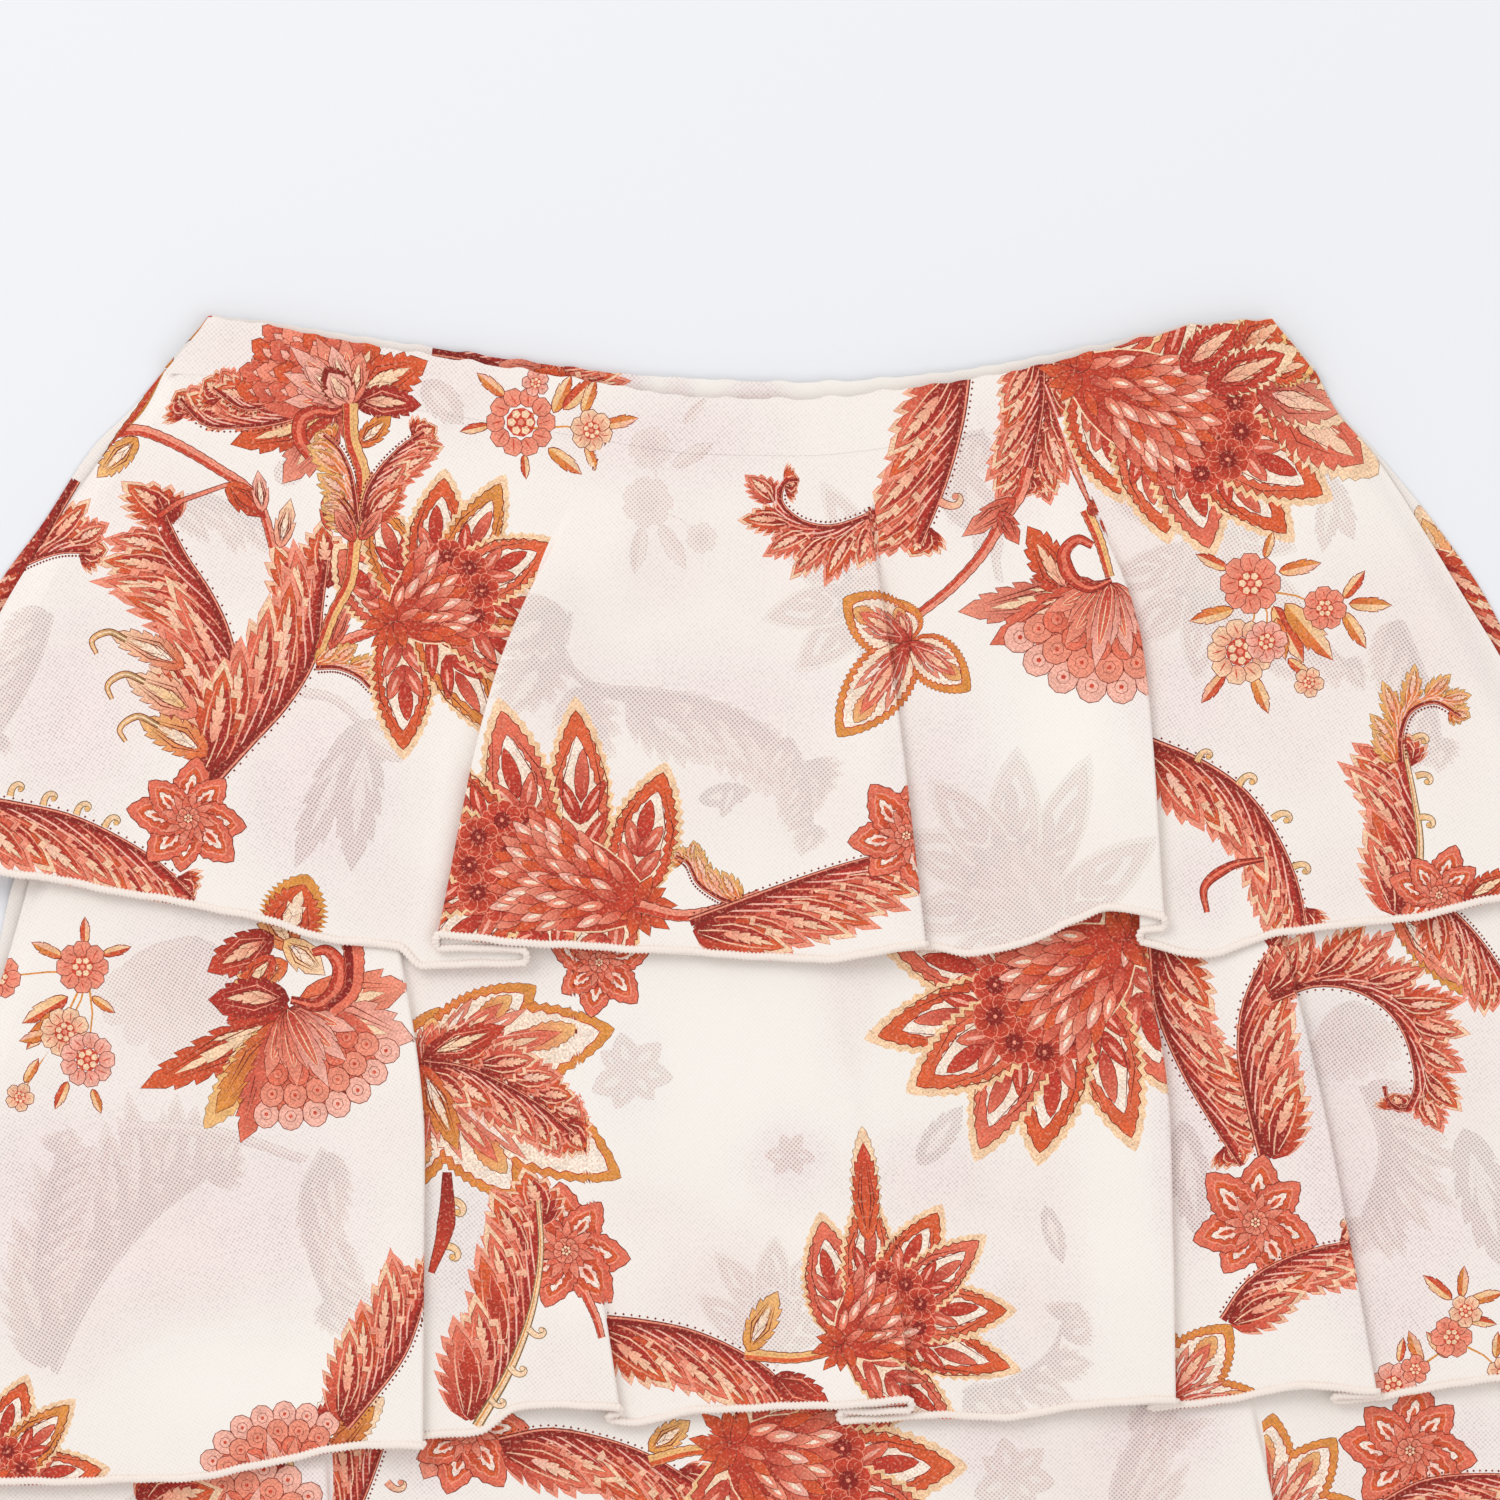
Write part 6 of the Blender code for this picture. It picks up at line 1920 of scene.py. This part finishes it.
CREASES_2 = (
    Crease(27, 206.5, 38, 264, 2.6, 0.7),
    Crease(-99, 213, -109, 347, 9.0, 0.6),
    Crease(-131, 206.5, -141, 360, 12.0, -0.7),
    Crease(-173, 206.5, -198.5, 347, 14.0, 0.8),
    Crease(-208, 213, -230.5, 347, 12.0, -0.8),
    Crease(-70.5, 209.5, -57.5, 347, 12.0, -0.5),
    Crease(-38.5, 213, -45, 315, 9.0, 0.5),
    Crease(-13, 219, 0, 347, 14.0, -0.5),
    Crease(77, 219, 86.5, 347, 10.0, -0.6),
    Crease(105.5, 232, 115, 347, 12.0, 0.7),
    Crease(147, 213, 169.5, 344, 9.0, 0.7),
    Crease(166.5, 219, 189, 344, 8.0, -0.6),
    Crease(192, 206.5, 217.5, 341, 10.0, -0.8),
    Crease(211, 206.5, 243, 341, 10.0, 0.8),
)
CREASES_3 = (
    Crease(-205, 360, -217.5, 491, 14.0, 0.9),
    Crease(-166.5, 360, -173, 501, 12.0, -0.8),
    Crease(-93, 353.5, -96, 491, 12.0, 0.8),
    Crease(-45, 353.5, -38.5, 494.5, 12.0, -0.8),
    Crease(38.5, 353.5, 45, 488, 12.0, 0.8),
    Crease(86.5, 353.5, 96, 488, 12.0, -0.8),
    Crease(121.5, 350.5, 137.5, 485, 12.0, 0.9),
    Crease(192, 350.5, 211, 485, 12.0, -0.9),
    Crease(227, 353.5, 256, 481.5, 12.0, 0.9),
)


# ------------------------------------------------------------------ materials

Links = dict[str, object]


def node(tree: bpy.types.NodeTree, kind: str, settings: dict[str, object] | None = None,
         inputs: Links | None = None) -> bpy.types.Node:
    """Adds a node with its settings, and its inputs as constants or links.

    Args:
        tree: Node tree it goes in.
        kind: The node's type.
        settings: Its own properties.
        inputs: By socket name or index, a number, colour or another node's output.

    Returns:
        The node.
    """
    made = tree.nodes.new(kind)
    for key, value in (settings or {}).items():
        setattr(made, key, value)
    for key, value in (inputs or {}).items():
        socket = made.inputs[int(key[1:]) if key.startswith("#") else key]
        if isinstance(value, bpy.types.NodeSocket):
            tree.links.new(value, socket)
        else:
            socket.default_value = value
    return made


def blank(name: str) -> tuple[bpy.types.Material, bpy.types.NodeTree]:
    """An empty node material."""
    material = bpy.data.materials.new(name)
    material.use_nodes = True
    material.node_tree.nodes.clear()
    return material, material.node_tree


@dataclass(frozen=True)
class PrintedNet:
    """Fine knitted polyester net, printed in warm inks."""

    #   across the lattice's diagonal, so holes are 1.06 mm apart; coarser than the real net,
    #   which has 1.16 mm there and 0.82 mm from hole to hole
    pitch: float = 1.5
    mottle: float = 0.8         # size of the inks' mottling, in millimetres
    speck: str = "#F3A98C"      # where the dye has taken thinly
    hole: str = "#7F6F74"       # what shows in a hole of the net
    roughness: float = 0.8
    crispness: float = 2.1      # above 1 the holes are smaller, with harder edges

    def build(self) -> bpy.types.Material:
        """Makes the material from the print, the bare tone and the holes of the net."""
        material, tree = blank("printed_net")

        def math_node(operation: str, a: object, b: object = 0.0,
                      c: float = 0.0) -> bpy.types.NodeSocket:
            """The result of a Math node."""
            return node(tree, "ShaderNodeMath", {"operation": operation},
                        {"#0": a, "#1": b, "#2": c}).outputs[0]

        printed = node(tree, "ShaderNodeAttribute", {"attribute_name": "print"}).outputs
        bare = node(tree, "ShaderNodeAttribute", {"attribute_name": "bare"}).outputs
        place = node(tree, "ShaderNodeUVMap", {"uv_map": "net"}).outputs[0]
        across, along, _ = node(tree, "ShaderNodeSeparateXYZ", inputs={"#0": place}).outputs
        waves = [math_node("COSINE", math_node("MULTIPLY", part, 2 * math.pi / (self.pitch * MM)))
                 for part in (across, along)]
        open_share = math_node("MULTIPLY_ADD", math_node("MULTIPLY", *waves), 0.5, 0.5)
        holes = math_node("POWER", open_share, self.crispness)

        def noise(size: float, detail: float) -> bpy.types.NodeSocket:
            """Soft noise of a size in millimetres."""
            return node(tree, "ShaderNodeTexNoise", inputs={
                "Vector": place, "Scale": 1 / (size * MM), "Detail": detail, "Roughness": 0.6}).outputs[0]

        def between(value: bpy.types.NodeSocket, low: float, high: float, to_low: float,
                    to_high: float) -> bpy.types.NodeSocket:
            """A value moved from one range to another."""
            return node(tree, "ShaderNodeMapRange", inputs={
                "Value": value, "From Min": low, "From Max": high, "To Min": to_low,
                "To Max": to_high}).outputs[0]

        mottled = math_node("MULTIPLY", between(noise(self.mottle, 2.0), 0.3, 0.7, 0.7, 1.26),
                            between(noise(self.mottle * 6, 1.0), 0.35, 0.65, 0.92, 1.08))
        inked_depth = math_node("MULTIPLY_ADD", holes, -0.22, 1.07)
        ink = node(tree, "ShaderNodeVectorMath", {"operation": "SCALE"}, {
            "#0": printed["Color"], "Scale": math_node("MULTIPLY", mottled, inked_depth)}).outputs[0]
        specks = node(tree, "ShaderNodeMix", {"data_type": "RGBA"}, {
            "#0": between(noise(self.mottle * 1.3, 1.0), 0.56, 0.68, 0.0, 0.45), "#6": ink,
            "#7": (*linear(self.speck), 1.0)}).outputs[2]
        uneven = math_node("MULTIPLY", between(noise(self.pitch * 0.8, 0.0), 0.3, 0.7, 0.45, 1.25),
                           between(noise(11.0, 1.0), 0.3, 0.7, 0.6, 1.0))
        dark = math_node("MULTIPLY", math_node("MULTIPLY", bare["Alpha"], holes), uneven)
        open_net = node(tree, "ShaderNodeMix", {"data_type": "RGBA"}, {
            "#0": dark, "#6": bare["Color"], "#7": (*linear(self.hole), 1.0)}).outputs[2]
        cover = math_node("POWER", printed["Alpha"], math_node("MULTIPLY_ADD", holes, -2.0, 2.3))
        colour = node(tree, "ShaderNodeMix", {"data_type": "RGBA"}, {
            "#0": cover, "#6": open_net, "#7": specks}).outputs[2]
        relief = node(tree, "ShaderNodeBump", inputs={
            "Strength": 0.25, "Distance": 0.0001, "Height": math_node("SUBTRACT", 1.0, holes)})
        shader = node(tree, "ShaderNodeBsdfPrincipled", inputs={
            "Base Color": colour, "Roughness": self.roughness, "Specular IOR Level": 0.25,
            "Sheen Weight": 0.08, "Sheen Roughness": 0.5, "Normal": relief.outputs[0]})
        node(tree, "ShaderNodeOutputMaterial", inputs={"Surface": shader.outputs[0]})
        return material


@dataclass(frozen=True)
class Thread:
    """Cream textured polyester thread."""

    colour: str = "#FFF9F2"
    shade: str = "#F1DCCF"
    fibre: float = 0.35         # size of its fuzz, in millimetres

    def build(self) -> bpy.types.Material:
        """Makes the material, with a darker cream mixed in as a fine random mottle."""
        material, tree = blank("cream_thread")
        place = node(tree, "ShaderNodeTexCoord").outputs["Object"]
        fuzz = node(tree, "ShaderNodeTexNoise", inputs={
            "Vector": place, "Scale": 1 / (self.fibre * MM), "Detail": 2.0}).outputs[0]
        colour = node(tree, "ShaderNodeMix", {"data_type": "RGBA"}, {
            "#0": fuzz, "#6": (*linear(self.shade), 1.0), "#7": (*linear(self.colour), 1.0)}).outputs[2]
        relief = node(tree, "ShaderNodeBump", inputs={
            "Strength": 0.3, "Distance": 0.0001, "Height": fuzz})
        shader = node(tree, "ShaderNodeBsdfPrincipled", inputs={
            "Base Color": colour, "Roughness": 0.75, "Sheen Weight": 0.1,
            "Normal": relief.outputs[0]})
        node(tree, "ShaderNodeOutputMaterial", inputs={"Surface": shader.outputs[0]})
        return material


# ------------------------------------------------------------------ the skirt

@dataclass(frozen=True)
class Skirt:
    """The whole skirt: casings, base and three tiers, front and back.

    The tiers' flat sizes are less than their whole cut. With its folds let out a front tier is
    0.64, 0.73 or 0.78 m wide, but the backs have no folds here to take that much cloth up, and
    the sizes are set so that theirs is enough. A casing's is its width as it lies, drawn in by
    its elastic, and the base's is the rectangle about a piece that narrows to its waist.
    """

    net: PrintedNet = field(default_factory=PrintedNet)
    thread: Thread = field(default_factory=Thread)
    overlock: Overlock = field(default_factory=Overlock)

    def layers(self) -> tuple[Layer, ...]:
        """Every piece of cloth, from the surface up."""
        return (*self.backs(), *self.bases(), *self.fronts(), *self.casings())

    def backs(self) -> tuple[Layer, ...]:
        """The three tiers of the back, flat on the surface."""
        shared = dict(slot="tiers", on_surface=True, motifs=PRINT_BACK, clouds=CLOUDS_BACK,
                      grid=5.0, fine=False)
        return (
            Layer("top_ruffle_back", "tier_1_back", flat=(0.58, 0.18), rests_on=("middle_ruffle_back",),
                  seam=lowered(WAIST_BACK, WAIST_SEAM), hems=(HEM_1_BACK,),
                  left=widened(TIER_1_LEFT, PEEK_LEFT, -1), right=widened(TIER_1_RIGHT, PEEK_RIGHT, 1),
                  **shared),
            Layer("middle_ruffle_back", "tier_2_back", flat=(0.70, 0.19), rests_on=("bottom_ruffle_back",),
                  seam=SEAM_2, hems=(HEM_2_BACK,), outer_hem=HEM_1_BACK,
                  left=widened(TIER_2_LEFT, PEEK_LEFT, -1), right=widened(TIER_2_RIGHT, PEEK_RIGHT, 1),
                  **shared),
            Layer("bottom_ruffle_back", "tier_3_back", flat=(0.76, 0.17), rests_on=("floor",),
                  seam=SEAM_3, hems=(HEM_3_BACK,), outer_hem=HEM_2_BACK, left=TIER_3_LEFT,
                  right=TIER_3_RIGHT, **shared),
        )

    def bases(self) -> tuple[Layer, ...]:
        """The plain skirt underneath, which carries the tiers."""
        shared = dict(slot="base", flat=(0.48, 0.33), grid=7.0, left=BASE_LEFT, right=BASE_RIGHT,
                      hems=(lowered(SEAM_3, 5.0),))
        return (
            Layer("base_skirt_back", "base_back", seam=lowered(WAIST_BACK, WAIST_SEAM),
                  rests_on=("top_ruffle_back",), level=lowered(LEVEL_BASE_FRONT, -PITCH), **shared),
            Layer("base_skirt_front", "base_front", seam=lowered(WAIST_FRONT, WAIST_SEAM),
                  rests_on=("base_skirt_back",), level=LEVEL_BASE_FRONT, **shared),
        )

    def fronts(self) -> tuple[Layer, ...]:
        """The three tiers of the front, with their knife folds."""
        shared = dict(slot="tiers", rolled=True, lift=WALL / 2)
        return (
            Layer("bottom_ruffle_front", "tier_3_front", flat=(0.76, 0.17),
                  rests_on=("base_skirt_front", "bottom_ruffle_back"),
                  seam=SEAM_3, hems=HEM_3, left=TIER_3_LEFT, right=TIER_3_RIGHT, folds=FOLDS_3,
                  level=LEVEL_TIER_3, outer_hem=HEM_2_BACK, motifs=PRINT_3, beneath=BENEATH_3,
                  clouds=CLOUDS_3, creases=CREASES_3, tilts=(2.0, -3.0, 4.0, -2.0), **shared),
            Layer("middle_ruffle_front", "tier_2_front", flat=(0.70, 0.19),
                  rests_on=("base_skirt_front", "bottom_ruffle_front"),
                  seam=SEAM_2, hems=HEM_2, left=TIER_2_LEFT, right=TIER_2_RIGHT, folds=FOLDS_2,
                  level=LEVEL_TIER_2, outer_hem=HEM_1_BACK, motifs=PRINT_2, beneath=BENEATH_2,
                  clouds=CLOUDS_2, creases=CREASES_2, tilts=(14.0, -6.0, 5.0, -4.0, 3.0, -9.0),
                  **shared),
            Layer("top_ruffle_front", "tier_1_front", flat=(0.58, 0.18),
                  rests_on=("base_skirt_front", "middle_ruffle_front"),
                  seam=lowered(WAIST_FRONT, WAIST_SEAM), hems=HEM_1, left=TIER_1_LEFT,
                  right=TIER_1_RIGHT, folds=FOLDS_1, level=LEVEL_TIER_1, motifs=PRINT_1,
                  beneath=BENEATH_1, clouds=CLOUDS_1, creases=CREASES_1,
                  tilts=(12.0, -4.0, 6.0, -12.0), **shared),
        )

    def casings(self) -> tuple[Layer, ...]:
        """The elastic casings at the waist."""
        top, foot = CASING_SIDE
        shared = dict(slot="casing", flat=(0.36, 0.018), left=((0, -top), (1, -foot)),
                      right=((0, top), (1, foot)), seam_points=170)
        wall = 2 * PITCH - 0.3
        return (
            Layer("waist_casing_back", "casing_back", seam=ruched(WAIST_BACK, 0.4), rests_on=("floor",),
                  hems=(lowered(WAIST_BACK, CASING_DEPTH),), motifs=PRINT_BACK,
                  level=((0, wall), (LENGTH, wall)), clouds=CLOUDS_WAIST, **shared),
            Layer("waist_casing_front", "casing_front", seam=ruched(WAIST_FRONT, 0.55),
                  rests_on=("waist_casing_back",), hems=(lowered(WAIST_FRONT, CASING_DEPTH + 1.2),),
                  motifs=PRINT_1, beneath=BENEATH_1, creases=CREASES_1, every=True, tilts=(-4.0,),
                  level=((0, 2 * wall + 0.3), (17, 5.2), (45, 5.74)), clouds=CLOUDS_1, **shared),
        )

    def build(self) -> list[bpy.types.Object]:
        """Makes every piece, dresses it, hangs it on the root body and hides its solid."""
        net, thread = self.net.build(), self.thread.build()
        made = []
        for count, layer in enumerate(self.layers()):
            piece = layer.build()
            piece.data.materials.append(net)
            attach(piece, "root")
            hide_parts(layer.node)
            edges = []
            if layer.slot == "tiers":
                edge = self.overlock.build(f"{layer.name}_overlock", layer.hem_line(), count)
                edge.data.materials.append(thread)
                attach(edge, "root")
                edges.append(edge)
            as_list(layer.rests_on)
            made += [piece, *edges]
            LOG.info("%s: %d faces, %d in its edge", layer.name, len(piece.data.polygons),
                     sum(len(edge.data.polygons) for edge in edges))
        return made


# ------------------------------------------------------------------ the scene

@dataclass(frozen=True)
class Studio:
    """A pale floor under soft light, and a long lens straight above."""

    floor_colour: str = "#F1F2F6"
    view: float = 480.0                     # width seen, in millimetres
    middle: tuple[float, float] = (3.2, 119.05)     # where the camera looks, in millimetres
    away: float = 3.2                       # camera's height, in metres
    sky: float = 0.745
    key: float = 31.0
    fill_share: float = 0.35                # the fill light's power, as a share of the key's

    def build(self) -> None:
        """Makes the floor, the lights and the camera."""
        scene = bpy.context.scene
        scene.view_settings.view_transform = "Standard"
        bpy.ops.mesh.primitive_plane_add(size=6.0, location=(0.0, 0.0, -0.0002))
        floor = bpy.context.object
        floor.name = "floor"
        material, tree = blank("floor_paper")
        shader = node(tree, "ShaderNodeBsdfPrincipled", inputs={
            "Base Color": (*linear(self.floor_colour), 1.0), "Roughness": 0.9,
            "Specular IOR Level": 0.1})
        node(tree, "ShaderNodeOutputMaterial", inputs={"Surface": shader.outputs[0]})
        floor.data.materials.append(material)
        world = bpy.data.worlds.new("studio")
        scene.world = world
        world.use_nodes = True
        backdrop = world.node_tree.nodes["Background"]
        backdrop.inputs["Color"].default_value = (1.0, 1.0, 1.0, 1.0)
        backdrop.inputs["Strength"].default_value = self.sky
        for name, place, size, power in (("key", (-1.6, 1.9, 2.2), 1.6, self.key),
                                         ("fill", (1.8, -1.2, 2.6), 2.4,
                                          self.key * self.fill_share)):
            bpy.ops.object.light_add(type="AREA", location=place)
            light = bpy.context.object
            light.name = name
            light.data.size = size
            light.data.energy = power
            aim = Vector((0.0, 0.1, 0.0)) - Vector(place)
            light.rotation_euler = aim.to_track_quat("-Z", "Y").to_euler()
        bpy.ops.object.camera_add(location=(self.middle[0] * MM, self.middle[1] * MM, self.away))
        camera = bpy.context.object
        camera.data.sensor_width = 36.0
        camera.data.lens = 36.0 * self.away / (self.view * MM)
        scene.camera = camera


def box_of(objects: list[bpy.types.Object]) -> tuple[list[float], list[float]]:
    """Lowest and highest corner of what some pieces fill, in metres."""
    corners = np.array([tuple(piece.matrix_world @ Vector(corner))
                        for piece in objects for corner in piece.bound_box])
    return corners.min(0).tolist(), corners.max(0).tolist()


def main() -> None:
    """Builds the skirt and its scene."""
    logging.basicConfig(level=logging.INFO, format="%(name)s: %(message)s")
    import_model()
    pieces = Skirt().build()
    Studio().build()
    bpy.context.view_layer.update()
    low, high = box_of(pieces)
    LOG.info("looks fill %s to %s", low, high)


if __name__ == "__main__":
    main()
